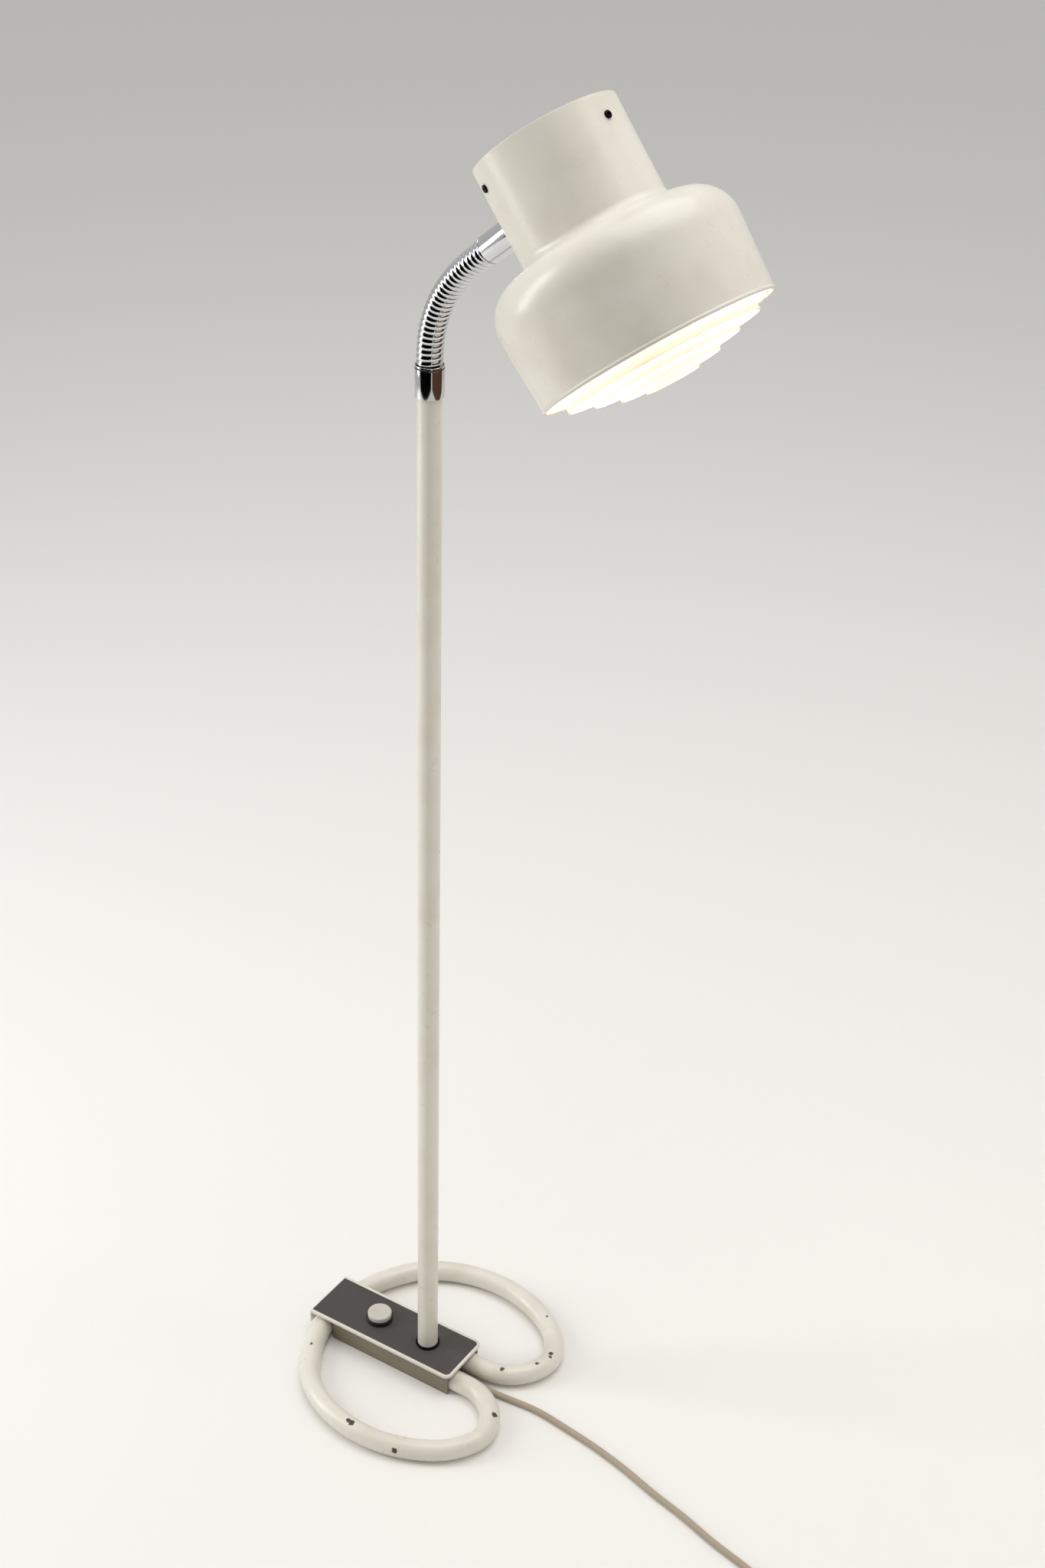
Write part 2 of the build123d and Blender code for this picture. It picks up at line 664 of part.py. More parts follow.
def spring_state(t):
    """Point and direction of the return spring's wire after t turns."""
    r = (BUTTON_SPRING_D - BUTTON_SPRING_WIRE) / 2
    rise = (spring_z[1] - spring_z[0]) / BUTTON_SPRING_TURNS
    a = 2 * pi * t
    point = Vector(SWITCH_X + r * cos(a), r * sin(a), spring_z[0] + rise * t)
    return point, unit((-2 * pi * r * sin(a), 2 * pi * r * cos(a), rise))


with BuildPart() as button_spring:
    with BuildLine() as spring_line:
        wound_path(spring_state, 0, BUTTON_SPRING_TURNS, 0.25)
    tube(spring_line.wire(), BUTTON_SPRING_WIRE)
export(button_spring.part, "button_spring")
spring_gap = least_gap(spring_state, 0, BUTTON_SPRING_TURNS, BUTTON_SPRING_WIRE, 240)
print("button spring, least gap:", round(spring_gap, 2))

# ---- wiring in the base ----------------------------------------------------------------------
block_x = sum(BLOCK_X) / 2
poles = [(-BLOCK_POLE_Y, lead_z), (BLOCK_POLE_Y, lead_z)]
screw_spots = [(block_x + dx, y) for dx in (-BLOCK_SCREW_X, BLOCK_SCREW_X) for y, z in poles]
with BuildPart() as terminal_block:
    with BuildSketch(Plane.XY.offset(SHEET_T)):
        with Locations((block_x, 0)):
            Rectangle(BLOCK_X[1] - BLOCK_X[0], BLOCK_W)
    extrude(amount=BLOCK_H)
    with BuildSketch(Plane.YZ.offset(BLOCK_X[0])):
        with Locations(*poles):
            Circle(BLOCK_BORE_D / 2)
    extrude(amount=BLOCK_X[1] - BLOCK_X[0], mode=Mode.SUBTRACT)
    with BuildSketch(Plane.XY.offset(lead_z)):
        with Locations(*screw_spots):
            Circle(BLOCK_SCREW_D / 2)
    extrude(amount=BLOCK_H, mode=Mode.SUBTRACT)
export(terminal_block.part, "terminal_block")

with BuildPart() as terminal_screws:
    with BuildSketch(Plane.XY.offset(lead_z + LEAD_D / 2)):
        with Locations(*screw_spots):
            Circle(BLOCK_SCREW_D / 2)
    extrude(amount=BLOCK_SCREW_L)
export(terminal_screws.part, "terminal_screws")

# the cord's two cores run to the block, and two short leads join the block to the switch
with BuildPart() as base_leads:
    for side in (-1, 1):
        pole_y = side * BLOCK_POLE_Y
        with BuildLine() as core_line:
            FilletPolyline(
                (CORD_END_X, side * LEAD_Y, cord_in_z),
                (CORD_END_X - 8, side * LEAD_Y, cord_in_z),
                (CORD_END_X - 20, side * (BLOCK_POLE_Y + 1.5), cord_in_z + 1),
                (BLOCK_X[1] + 8, pole_y, lead_z),
                (BLOCK_X[1] - LEAD_INSERT, pole_y, lead_z),
                radius=LEAD_BEND_R,
            )
        tube(core_line.wire(), LEAD_D)
        with BuildSketch(Plane.YZ.offset(SWITCH_X + SWITCH_W / 2)):
            with Locations((pole_y, lead_z)):
                Circle(LEAD_D / 2)
        extrude(amount=BLOCK_X[0] + LEAD_INSERT - SWITCH_X - SWITCH_W / 2)
export(base_leads.part, "base_leads")

with BuildPart() as cord_clamp:
    with BuildSketch(Plane.XY.offset(clamp_low_z)):
        with Locations((clamp_x, 0)):
            Rectangle(CLAMP_X[1] - CLAMP_X[0], CLAMP_W)
    extrude(amount=FRONT_SADDLE_LOW_Z - clamp_low_z)
    with BuildSketch(Plane.YZ.offset(CLAMP_X[0])):
        with Locations((0, cord_in_z)):
            Circle(cord_r + PRESS)
    extrude(amount=CLAMP_X[1] - CLAMP_X[0], mode=Mode.SUBTRACT)
    with BuildSketch(Plane.XY.offset(cord_in_z + cord_r)):
        with Locations((clamp_x, 0)):
            Circle(SCREW_D / 2 + PRESS)
    extrude(amount=FRONT_SADDLE_LOW_Z, mode=Mode.SUBTRACT)
export(cord_clamp.part, "cord_clamp")

# ======== POST ================================================================================
with BuildPart() as foot_washer:
    with BuildSketch(Plane.XY.offset(cover_top_z)):
        Circle(post_r + WASHER_RIM)
        Circle(THREAD_D / 2 + SLIP, mode=Mode.SUBTRACT)
    extrude(amount=WASHER_T)
    fillet(foot_washer.faces().sort_by(Axis.Z)[-1].outer_wire().edges(), WASHER_T / 2)
export(foot_washer.part, "foot_washer")

with BuildPart() as post:
    with BuildSketch(Plane.XY.offset(washer_top_z)):
        Circle(post_r)
        Circle(post_bore_r, mode=Mode.SUBTRACT)
    extrude(amount=POST_TOP_Z - washer_top_z)
    fillet(post.faces().sort_by(Axis.Z)[0].outer_wire().edges(), POST_WALL * 0.6)
export(post.part, "post")

# a threaded plug in each end of the tube: one bolts the post down, one carries the gooseneck
with BuildPart() as post_plugs:
    for plug_z, stub_z, stub_top in (
        (washer_top_z, NIPPLE_LOW_Z, washer_top_z),
        (POST_TOP_Z - PLUG_IN_POST, POST_TOP_Z, POST_TOP_Z + TOP_STUB_L),
    ):
        with BuildSketch(Plane.XY.offset(plug_z)):
            Circle(post_bore_r - RUN)
        extrude(amount=PLUG_IN_POST)
        with BuildSketch(Plane.XY.offset(stub_z)):
            Circle(THREAD_D / 2)
        extrude(amount=stub_top - stub_z)
    with BuildSketch(Plane.XY.offset(NIPPLE_LOW_Z)):
        Circle(NIPPLE_BORE_D / 2)
    extrude(amount=POST_TOP_Z + TOP_STUB_L - NIPPLE_LOW_Z, mode=Mode.SUBTRACT)
export(post_plugs.part, "post_plugs")

with BuildPart() as foot_plate:
    with BuildSketch(Plane.XY.offset(cover_low_z - FOOT_PLATE_T)):
        Rectangle(2 * FOOT_PLATE_X, 2 * FOOT_PLATE_Y)
        Circle(THREAD_D / 2 + SLIP, mode=Mode.SUBTRACT)
    extrude(amount=FOOT_PLATE_T)
export(foot_plate.part, "foot_plate")

foot_nut = hex_nut(Plane.XY.offset(cover_low_z - FOOT_PLATE_T - NUT_T), THREAD_D / 2 + PRESS)
export(foot_nut, "foot_nut")

# two-core cable, from the terminal block up through the post
cable_low_z = SHEET_T + CABLE_D / 2 + AIR
with BuildPart() as post_cable:
    with BuildLine() as cable_line:
        Line((BLOCK_X[1], 0, cable_low_z), (-CABLE_BEND_R, 0, cable_low_z))
        TangentArc(
            (-CABLE_BEND_R, 0, cable_low_z),
            (0, 0, cable_low_z + CABLE_BEND_R),
            tangent=(1, 0, 0),
        )
        Line((0, 0, cable_low_z + CABLE_BEND_R), (0, 0, POST_TOP_Z + TOP_STUB_L))
    tube(cable_line.wire(), CABLE_D)
export(post_cable.part, "post_cable")

with BuildPart() as lower_ferrule:
    with BuildSketch(Plane.XY.offset(ferrule_low_z)):
        Circle(ferrule_r)
    extrude(amount=ferrule_top_z - ferrule_low_z)
    fillet(lower_ferrule.faces().sort_by(Axis.Z)[-1].edges(), FERRULE_EDGE)
    fillet(lower_ferrule.faces().sort_by(Axis.Z)[0].edges(), FERRULE_EDGE / 2)
    with BuildSketch(Plane.XY.offset(ferrule_low_z)):
        Circle(post_r + RUN)
    extrude(amount=POST_TOP_Z + AIR - ferrule_low_z, mode=Mode.SUBTRACT)
    with BuildSketch(Plane.XY.offset(POST_TOP_Z)):
        Circle(SHANK_D / 2 + RUN)
    extrude(amount=ferrule_top_z - POST_TOP_Z, mode=Mode.SUBTRACT)
    with BuildSketch(Plane.XY.offset(goose_low_z - FERRULE_RECESS)):
        Circle(recess_r)
    extrude(amount=FERRULE_RECESS + FERRULE_LIP, mode=Mode.SUBTRACT)
export(lower_ferrule.part, "lower_ferrule")

# ======== GOOSENECK ===========================================================================
butt_turn = BUTT_GAP / (2 * pi * wind_r) / 2


def wire_state(t):
    """Point and direction of the round wire after t turns, in a link's own frame."""
    a = 2 * pi * t
    point = Vector(wind_r * cos(a), wind_r * sin(a), TURN_PITCH * t)
    return point, unit((-2 * pi * wind_r * sin(a), 2 * pi * wind_r * cos(a), TURN_PITCH))


def link(is_first, is_last):
    """One link: a hollow core with a socket below and a ball above, and its turns of wire."""
    low = -LOW_SHANK_L if is_first else CORE_GAP / 2
    high = link_l + TOP_SHANK_L if is_last else link_l - CORE_GAP / 2
    with BuildPart() as piece:
        with BuildSketch(Plane.XY.offset(low)):
            Circle(CORE_D / 2)
        extrude(amount=high - low)
        # the wire is soldered to a low collar half way up the link
        with BuildSketch(Plane.XY.offset(link_l / 2 - COLLAR_HALF)):
            Circle(COLLAR_D / 2)
        extrude(amount=2 * COLLAR_HALF)
        if not is_last:
            with Locations((0, 0, link_l)):
                Sphere(BALL_R)
            with BuildSketch(Plane.XY.offset(link_l + BALL_RISE)):
                Circle(BALL_R + 1)
            extrude(amount=BALL_R, mode=Mode.SUBTRACT)
        if not is_first:
            Sphere(BALL_R + AIR, mode=Mode.SUBTRACT)
        with BuildSketch(Plane.XY.offset(low)):
            Circle(CORE_BORE_D / 2)
        extrude(amount=high - low + BALL_R, mode=Mode.SUBTRACT)
        if is_first:
            with BuildSketch(Plane.XY.offset(low)):
                Circle(THREAD_D / 2 + PRESS)
            extrude(amount=TOP_STUB_L + AIR, mode=Mode.SUBTRACT)
        if is_last:
            with BuildSketch(Plane.XY.offset(high - TOP_STUB_L)):
                Circle(THREAD_D / 2 + PRESS)
            extrude(amount=TOP_STUB_L, mode=Mode.SUBTRACT)
        with BuildLine() as turns:
            wound_path(wire_state, butt_turn, LINK_TURNS - butt_turn, 0.5)
        tube(turns.wire(), WIRE_D)
    return piece.part


link_kinds = {"first": link(True, False), "middle": link(False, False), "last": link(False, True)}
for number, frame in enumerate(link_frames, start=1):
    kind = "first" if number == 1 else "last" if number == LINKS else "middle"
    with BuildPart() as goose_link:
        add(link_kinds[kind].moved(frame.location))
    export(goose_link.part, f"goose_link_{number:02d}")
print(
    "gooseneck winding, least gap:",
    round(least_gap(wire_state, 0, LINK_TURNS * LINKS, WIRE_D, 60 * LINKS), 2),
)

# ======== HEAD ================================================================================
def neck_cylinder(radius):
    """A cylinder on the shade's axis, for the pieces that seat on the neck."""
    body = Cylinder(radius, 3 * seat_h, mode=Mode.PRIVATE)
    return body.moved(shade_frame.location)


def neck_spokes(turn=0.0):
    """Planes on the shade's axis, at the height of the neck's screws, that face outwards."""
    angles = [2 * pi * k / NECK_SCREWS + turn for k in range(NECK_SCREWS)]
    return [Plane(origin=(0, 0, neck_screw_h), z_dir=(cos(a), sin(a), 0)) for a in angles]


def place(part, name):
    """Move a piece from the shade's own frame to the lamp's, and write it."""
    export(part.moved(shade_frame.location), name)


sleeve_foot = leaned(goose_end, -FERRULE_LIP, 0.0)
nipple_foot = leaned(goose_end, TOP_SHANK_L - TOP_STUB_L, 0.0)
nut_seat = leaned(neck_face, SHADE_T + NECK_NUT_SEAT, 0.0)
grub_angle = radians(GRUB_ANGLE)
grub_plane = Plane(
    origin=leaned(sleeve_foot, SLEEVE_L - GRUB_FROM_NECK, 0.0).origin,
    x_dir=goose_end.z_dir,
    z_dir=goose_end.x_dir * cos(grub_angle) + goose_end.y_dir * sin(grub_angle),
)
with BuildPart() as upper_ferrule:
    with BuildSketch(sleeve_foot):
        Circle(ferrule_r)
    extrude(amount=SLEEVE_L + SHADE_T)
    open_edge = upper_ferrule.edges().filter_by(GeomType.CIRCLE).sort_by_distance(sleeve_foot.origin)[0]
    fillet(open_edge, FERRULE_EDGE)
    with BuildSketch(sleeve_foot):
        Circle(recess_r)
    extrude(amount=FERRULE_LIP + FERRULE_RECESS, mode=Mode.SUBTRACT)
    with BuildSketch(sleeve_foot):
        Circle(SHANK_D / 2 + RUN)
    extrude(amount=SLEEVE_L - SLEEVE_WALL_L, mode=Mode.SUBTRACT)
    with BuildSketch(sleeve_foot):
        Circle(THREAD_D / 2 + SLIP)
    extrude(amount=SLEEVE_L + SHADE_T, mode=Mode.SUBTRACT)
    add(neck_cylinder(NECK_R + RUN), mode=Mode.SUBTRACT)
    with BuildSketch(grub_plane):
        Circle(GRUB_D / 2 + PRESS)
    extrude(amount=2 * ferrule_r, mode=Mode.SUBTRACT)
export(upper_ferrule.part, "upper_ferrule")

with BuildPart() as neck_washer:
    with BuildSketch(neck_face):
        Circle(SADDLE_WASHER_R)
        Circle(THREAD_D / 2 + SLIP, mode=Mode.SUBTRACT)
    extrude(amount=SHADE_T + NECK_NUT_SEAT)
    add(neck_cylinder(NECK_R - SHADE_T - RUN), mode=Mode.INTERSECT)
export(neck_washer.part, "neck_washer")

# the shade's section, from the mouth up the outside, then back down the inside
with BuildPart() as shade:
    with BuildSketch(Plane.XZ):
        with BuildLine():
            rim = Line((MOUTH_R, 0), (DRUM_R, drum_top_h))
            shoulder_end = (DRUM_R - SHOULDER_R, drum_top_h + SHOULDER_R)
            shoulder = RadiusArc(rim @ 1, shoulder_end, -SHOULDER_R)
            flat = Line(shoulder @ 1, (NECK_R + SHOULDER_STEP, drum_top_h + SHOULDER_R))
            waist = RadiusArc(flat @ 1, (NECK_R, WAIST_H), SHOULDER_STEP)
            side = Line(waist @ 1, (NECK_R, SHADE_H))
            top = Line(side @ 1, (NECK_R - SHADE_T, SHADE_H))
            side_in = Line(top @ 1, (NECK_R - SHADE_T, WAIST_H))
            waist_r = SHOULDER_STEP + SHADE_T
            waist_in = RadiusArc(side_in @ 1, (NECK_R + SHOULDER_STEP, WAIST_H - waist_r), -waist_r)
            flat_in = Line(waist_in @ 1, (DRUM_R - SHOULDER_R, WAIST_H - waist_r))
            shoulder_in = RadiusArc(flat_in @ 1, (DRUM_R - SHADE_T, drum_top_h), SHOULDER_R - SHADE_T)
            rim_in = Line(shoulder_in @ 1, (MOUTH_R - SHADE_T, 0))
            Line(rim_in @ 1, rim @ 0)
        make_face()
        with Locations((MOUTH_R - SHADE_T / 2, 0)):
            Circle(RIM_BEAD)
    revolve(axis=Axis.Z)
    for spoke in neck_spokes():
        with BuildSketch(spoke):
            Circle(NECK_SCREW_D / 2 + SLIP)
        extrude(amount=NECK_R + 1, mode=Mode.SUBTRACT)
    with BuildSketch(Plane(origin=(0, 0, seat_h), z_dir=(-1, 0, 0))):
        Circle(THREAD_D / 2 + SLIP)
    extrude(amount=NECK_R + 1, mode=Mode.SUBTRACT)
place(shade.part, "shade")

# a shallow vented cup inside the neck carries the lamp holder
cup_low = neck_screw_h - PLATE_SKIRT / 2
plate_r = NECK_R - SHADE_T - SLIP
with BuildPart() as holder_plate:
    with BuildSketch(Plane.XY.offset(cup_low)):
        Circle(plate_r)
    extrude(amount=PLATE_SKIRT)
    with BuildSketch(Plane.XY.offset(cup_low + PLATE_T)):
        Circle(plate_r - PLATE_T)
    extrude(amount=PLATE_SKIRT - PLATE_T, mode=Mode.SUBTRACT)
    with BuildSketch(Plane.XY.offset(cup_low)):
        Circle(THREAD_D / 2 + SLIP)
        with PolarLocations(VENT_R, VENTS):
            SlotOverall(VENT_L, VENT_W, rotation=90)
    extrude(amount=PLATE_T, mode=Mode.SUBTRACT)
    for spoke in neck_spokes():
        with BuildSketch(spoke):
            Circle(NECK_SCREW_D / 2 + PRESS)
        extrude(amount=NECK_R, mode=Mode.SUBTRACT)
place(holder_plate.part, "holder_plate")

with BuildPart() as neck_screws:
    for spoke in neck_spokes():
        with BuildSketch(spoke.offset(NECK_R + NECK_SCREW_SAG)):
            Circle(NECK_SCREW_HEAD_D / 2)
        extrude(amount=NECK_SCREW_HEAD_H)
        with BuildSketch(spoke.offset(NECK_R + NECK_SCREW_SAG)):
            Circle(NECK_SCREW_D / 2)
        extrude(amount=-NECK_SCREW_L)
with BuildPart() as head_screws:
    add(neck_screws.part.moved(shade_frame.location))
    with BuildSketch(grub_plane.offset(ferrule_r - GRUB_L - GRUB_SUNK)):
        Circle(GRUB_D / 2)
    extrude(amount=GRUB_L)
export(head_screws.part, "head_screws")

# ---- lamp holder -----------------------------------------------------------------------------
# hung from the plate by a threaded nipple
holder_top = cup_low
holder_low = holder_top - HOLDER_L
block_low = holder_top - HOLDER_ROUND - HOLDER_WALL - CORE_BLOCK_H
with BuildPart() as lampholder_shell:
    with BuildSketch(Plane.XY.offset(holder_low)):
        Circle(HOLDER_D / 2)
    extrude(amount=HOLDER_L)
    fillet(lampholder_shell.faces().sort_by(Axis.Z)[-1].edges(), HOLDER_ROUND)
    with BuildSketch(Plane.XY.offset(holder_low)):
        Circle(HOLDER_D / 2 - HOLDER_WALL)
    extrude(amount=HOLDER_L - HOLDER_ROUND - HOLDER_WALL, mode=Mode.SUBTRACT)
    with BuildSketch(Plane.XY.offset(holder_low)):
        Circle(THREAD_D / 2 + PRESS)
    extrude(amount=HOLDER_L, mode=Mode.SUBTRACT)
place(lampholder_shell.part, "lampholder_shell")

with BuildPart() as holder_nipple:
    with BuildSketch(Plane.XY.offset(holder_top - HOLDER_ROUND)):
        Circle(THREAD_D / 2)
        Circle(NIPPLE_BORE_D / 2, mode=Mode.SUBTRACT)
    extrude(amount=HOLDER_ROUND + PLATE_T + NUT_T + NIPPLE_PROUD)
with BuildPart() as head_nipples:
    add(holder_nipple.part.moved(shade_frame.location))
    with BuildSketch(nipple_foot):
        Circle(THREAD_D / 2)
        Circle(NIPPLE_BORE_D / 2, mode=Mode.SUBTRACT)
    extrude(amount=(nut_seat.origin - nipple_foot.origin).length + NUT_T + NIPPLE_PROUD)
export(head_nipples.part, "head_nipples")

holder_nut = hex_nut(Plane.XY.offset(cup_low + PLATE_T), THREAD_D / 2 + PRESS)
neck_nut = hex_nut(nut_seat, THREAD_D / 2 + PRESS)
with BuildPart() as head_nuts:
    add(holder_nut.moved(shade_frame.location))
    add(neck_nut)
export(head_nuts.part, "head_nuts")

with BuildPart() as lampholder_core:
    with BuildSketch(Plane.XY.offset(block_low)):
        Circle(HOLDER_D / 2 - HOLDER_WALL - SLIP)
    extrude(amount=CORE_BLOCK_H)
    with BuildSketch(Plane.XY.offset(block_low)):
        Circle(CONTACT_D / 2)
    extrude(amount=CONTACT_L, mode=Mode.SUBTRACT)
place(lampholder_core.part, "lampholder_core")

# threaded sleeve with its flange, and the contact in the middle
with BuildPart() as holder_contacts:
    with BuildSketch(Plane.XY.offset(block_low - SOCKET_L)):
        Circle(SOCKET_D / 2 + SOCKET_WALL)
    extrude(amount=SOCKET_L)
    with BuildSketch(Plane.XY.offset(block_low - SOCKET_WALL)):
        Circle(HOLDER_D / 2 - HOLDER_WALL - SLIP)
    extrude(amount=SOCKET_WALL)
    with BuildSketch(Plane.XY.offset(block_low - SOCKET_L)):
        Circle(SOCKET_D / 2)
    extrude(amount=SOCKET_L, mode=Mode.SUBTRACT)
    with BuildSketch(Plane.XY.offset(block_low - SOCKET_WALL)):
        Circle(CONTACT_D / 2)
    extrude(amount=CONTACT_L + SOCKET_WALL)
place(holder_contacts.part, "holder_contacts")

# cable from the neck's nipple up through a vent, over the plate and down to the holder
cable_in_x = -(NECK_R - SHADE_T - NECK_NUT_SEAT - NUT_T)
cable_up_x = cable_in_x + NIPPLE_PROUD + HEAD_BEND_R[0]
nipple_top = cup_low + PLATE_T + NUT_T + NIPPLE_PROUD
with BuildPart() as head_cable:
    with BuildLine() as head_line:
        Line((cable_in_x, 0, seat_h), (cable_in_x + NIPPLE_PROUD, 0, seat_h))
        TangentArc(
            (cable_in_x + NIPPLE_PROUD, 0, seat_h),
            (cable_up_x, 0, seat_h + HEAD_BEND_R[0]),
            tangent=(1, 0, 0),
        )
        Line((cable_up_x, 0, seat_h + HEAD_BEND_R[0]), (cable_up_x, 0, nipple_top))
        TangentArc(
            (cable_up_x, 0, nipple_top),
            (cable_up_x + HEAD_BEND_R[1], 0, nipple_top + HEAD_BEND_R[1]),
            tangent=(0, 0, 1),
        )
        Line(
            (cable_up_x + HEAD_BEND_R[1], 0, nipple_top + HEAD_BEND_R[1]),
            (-HEAD_BEND_R[1], 0, nipple_top + HEAD_BEND_R[1]),
        )
        TangentArc(
            (-HEAD_BEND_R[1], 0, nipple_top + HEAD_BEND_R[1]),
            (0, 0, nipple_top),
            tangent=(1, 0, 0),
        )
        Line((0, 0, nipple_top), (0, 0, block_low + CORE_BLOCK_H))
    tube(head_line.wire(), CABLE_D)
place(head_cable.part, "head_cable")

# ---- bulb ------------------------------------------------------------------------------------
# screw cap and pear-shaped glass
bulb_top = block_low - SOCKET_WALL
bulb_r = BULB_D / 2
cap_low = bulb_top - BULB_CAP_L
with BuildPart() as bulb_cap:
    with BuildSketch(Plane.XY.offset(cap_low)):
        Circle(BULB_CAP_D / 2)
    extrude(amount=BULB_CAP_L - TIP_L)
    fillet(bulb_cap.faces().sort_by(Axis.Z)[-1].edges(), TIP_L)
    with BuildSketch(Plane.XY.offset(bulb_top - TIP_L)):
        Circle(CONTACT_D / 2)
    extrude(amount=TIP_L)
    with BuildSketch(Plane.XY.offset(cap_low)):
        Circle(BULB_CAP_D / 2 - BULB_CAP_WALL)
    extrude(amount=GLASS_IN_CAP + SLIP, mode=Mode.SUBTRACT)
place(bulb_cap.part, "bulb_cap")


def glass_side(inset):
    """Half section of the glass, inset from its outside: a ball, drawn in to a neck."""
    ball_z = bulb_top - BULB_L + bulb_r
    ball_r = bulb_r - inset
    neck_r = BULB_CAP_D / 2 - BULB_CAP_WALL - SLIP - inset
    leave = radians(BULB_LEAVE)
    low_side = radians(-45.0)
    end = (ball_r * cos(leave), ball_z + ball_r * sin(leave))
    ball = ThreePointArc(
        (0, ball_z - ball_r),
        (ball_r * cos(low_side), ball_z + ball_r * sin(low_side)),
        end,
    )
    neck = Bezier(
        end,
        (end[0] - BULB_DRAW * sin(leave), end[1] + BULB_DRAW * cos(leave)),
        (neck_r, cap_low - BULB_DRAW),
        (neck_r, cap_low),
    )
    rise = Line(neck @ 1, (neck_r, cap_low + GLASS_IN_CAP))
    return ball, rise


with BuildPart() as bulb_glass:
    with BuildSketch(Plane.XZ):
        with BuildLine():
            outer_ball, outer_rise = glass_side(0.0)
            inner_ball, inner_rise = glass_side(GLASS_T)
            Line(outer_rise @ 1, inner_rise @ 1)
            Line(inner_ball @ 0, outer_ball @ 0)
        make_face()
    revolve(axis=Axis.Z)
place(bulb_glass.part, "bulb_glass")

# ---- louvre ----------------------------------------------------------------------------------
# four stepped rings, notched for three spokes whose bent tabs rest above the shade's rim
spoke_planes = []
for k in range(SPOKES):
    spoke_angle = radians(SPOKE_START + 360.0 * k / SPOKES)
    across = Vector(sin(spoke_angle), -cos(spoke_angle), 0)
    along = Vector(cos(spoke_angle), sin(spoke_angle), 0)
    spoke_planes.append(Plane(origin=(0, 0, 0), x_dir=along, z_dir=across))
tab_low = RIM_BEAD + AIR
tab_high = RING_LOW[0] + RING_H
tab_wall_r = MOUTH_R - SHADE_T + (DRUM_R - MOUTH_R) * tab_low / drum_top_h - AIR
tab_x = sqrt(tab_wall_r**2 - SPOKE_TAB**2)

for number, (ring_r, ring_low) in enumerate(zip(RING_R, RING_LOW), start=1):
    ring_high = ring_low + RING_H
    with BuildPart() as louvre_ring:
        with BuildSketch(Plane.XZ):
            with BuildLine():
                Polyline(
                    (ring_r + RING_LEAN, ring_low),
                    (ring_r + RING_LEAN + RING_T, ring_low),
                    (ring_r + RING_T, ring_high),
                    (ring_r, ring_high),
                    close=True,
                )
            make_face()
        revolve(axis=Axis.Z)
        for spoke in spoke_planes:
            with BuildSketch(spoke):
                with Locations((ring_r + RING_T, ring_high)):
                    Rectangle(NOTCH_REACH, 2 * (SPOKE_H + SLIP))
            extrude(amount=SPOKE_T / 2 + SLIP, both=True, mode=Mode.SUBTRACT)
    place(louvre_ring.part, f"louvre_ring_{number}")

ring_tops = [(ring_r, ring_low + RING_H) for ring_r, ring_low in zip(RING_R, RING_LOW)]
spoke_top = [(tab_x, tab_high)] + ring_tops + [(RING_R[-1] - SPOKE_END, ring_tops[-1][1])]
spoke_foot = [(x, z - SPOKE_H) for x, z in reversed(spoke_top[1:])] + [(tab_x, tab_low)]
with BuildPart() as louvre_spokes:
    for spoke in spoke_planes:
        with BuildSketch(spoke):
            with BuildLine():
                Polyline(*spoke_top, *spoke_foot, close=True)
            make_face()
        extrude(amount=SPOKE_T / 2, both=True)
        # the tab is bent to one side, along the shade's wall
        with BuildSketch(spoke):
            with Locations((tab_x - SPOKE_T / 2, (tab_low + tab_high) / 2)):
                Rectangle(SPOKE_T, tab_high - tab_low)
        extrude(amount=SPOKE_TAB)
place(louvre_spokes.part, "louvre_spokes")

# ======== MAINS CORD ==========================================================================
coil_low_z = cord_r + COIL_LIFT
coil_high_z = coil_low_z + COIL_PITCH
coil_mid = COIL_TURNS / 2


def coil_state(t):
    """Point and direction of the coiled cord after t turns: in, up one layer, and out."""
    a = radians(COIL_START) - 2 * pi * t
    r = COIL_R - COIL_PITCH * (t if t < coil_mid else COIL_TURNS - t)
    r_rate = -COIL_PITCH if t < coil_mid else COIL_PITCH
    u = min(max((t - (coil_mid - COIL_CLIMB / 2)) / COIL_CLIMB, 0.0), 1.0)
    z = coil_low_z + (coil_high_z - coil_low_z) * (1 - cos(pi * u)) / 2
    z_rate = (coil_high_z - coil_low_z) * pi * sin(pi * u) / 2 / COIL_CLIMB
    if abs(t - coil_mid) < 1e-6:
        r_rate = 0.0
    point = Vector(COIL_CENTRE[0] + r * cos(a), COIL_CENTRE[1] + r * sin(a), z)
    x_rate = r_rate * cos(a) + 2 * pi * r * sin(a)
    y_rate = r_rate * sin(a) - 2 * pi * r * cos(a)
    return point, unit((x_rate, y_rate, z_rate))


coil_in, coil_in_way = coil_state(0.0)
coil_out, coil_out_way = coil_state(COIL_TURNS)
coil_entry = coil_in - coil_in_way * CORD_D
coil_exit = coil_out + coil_out_way * PLUG_LEAD
lead_start = coil_entry - coil_in_way * COIL_LEAD
cord_points = [Vector(CORD_END_X, 0, cord_in_z)]
cord_points += [Vector(*point) for point in CORD_ROUTE]
cord_points += [lead_start, coil_entry]
cord_radii = corner_radii(cord_points)
print("cord bend radii:", [round(r) for r in cord_radii])

with BuildPart() as cord_free:
    with BuildLine() as cord_line:
        FilletPolyline(*cord_points, radius=cord_radii)
    tube(cord_line.wire(), CORD_D)
export(cord_free.part, "cord_free")
print("free cord length:", round(cord_line.wire().length, 1))

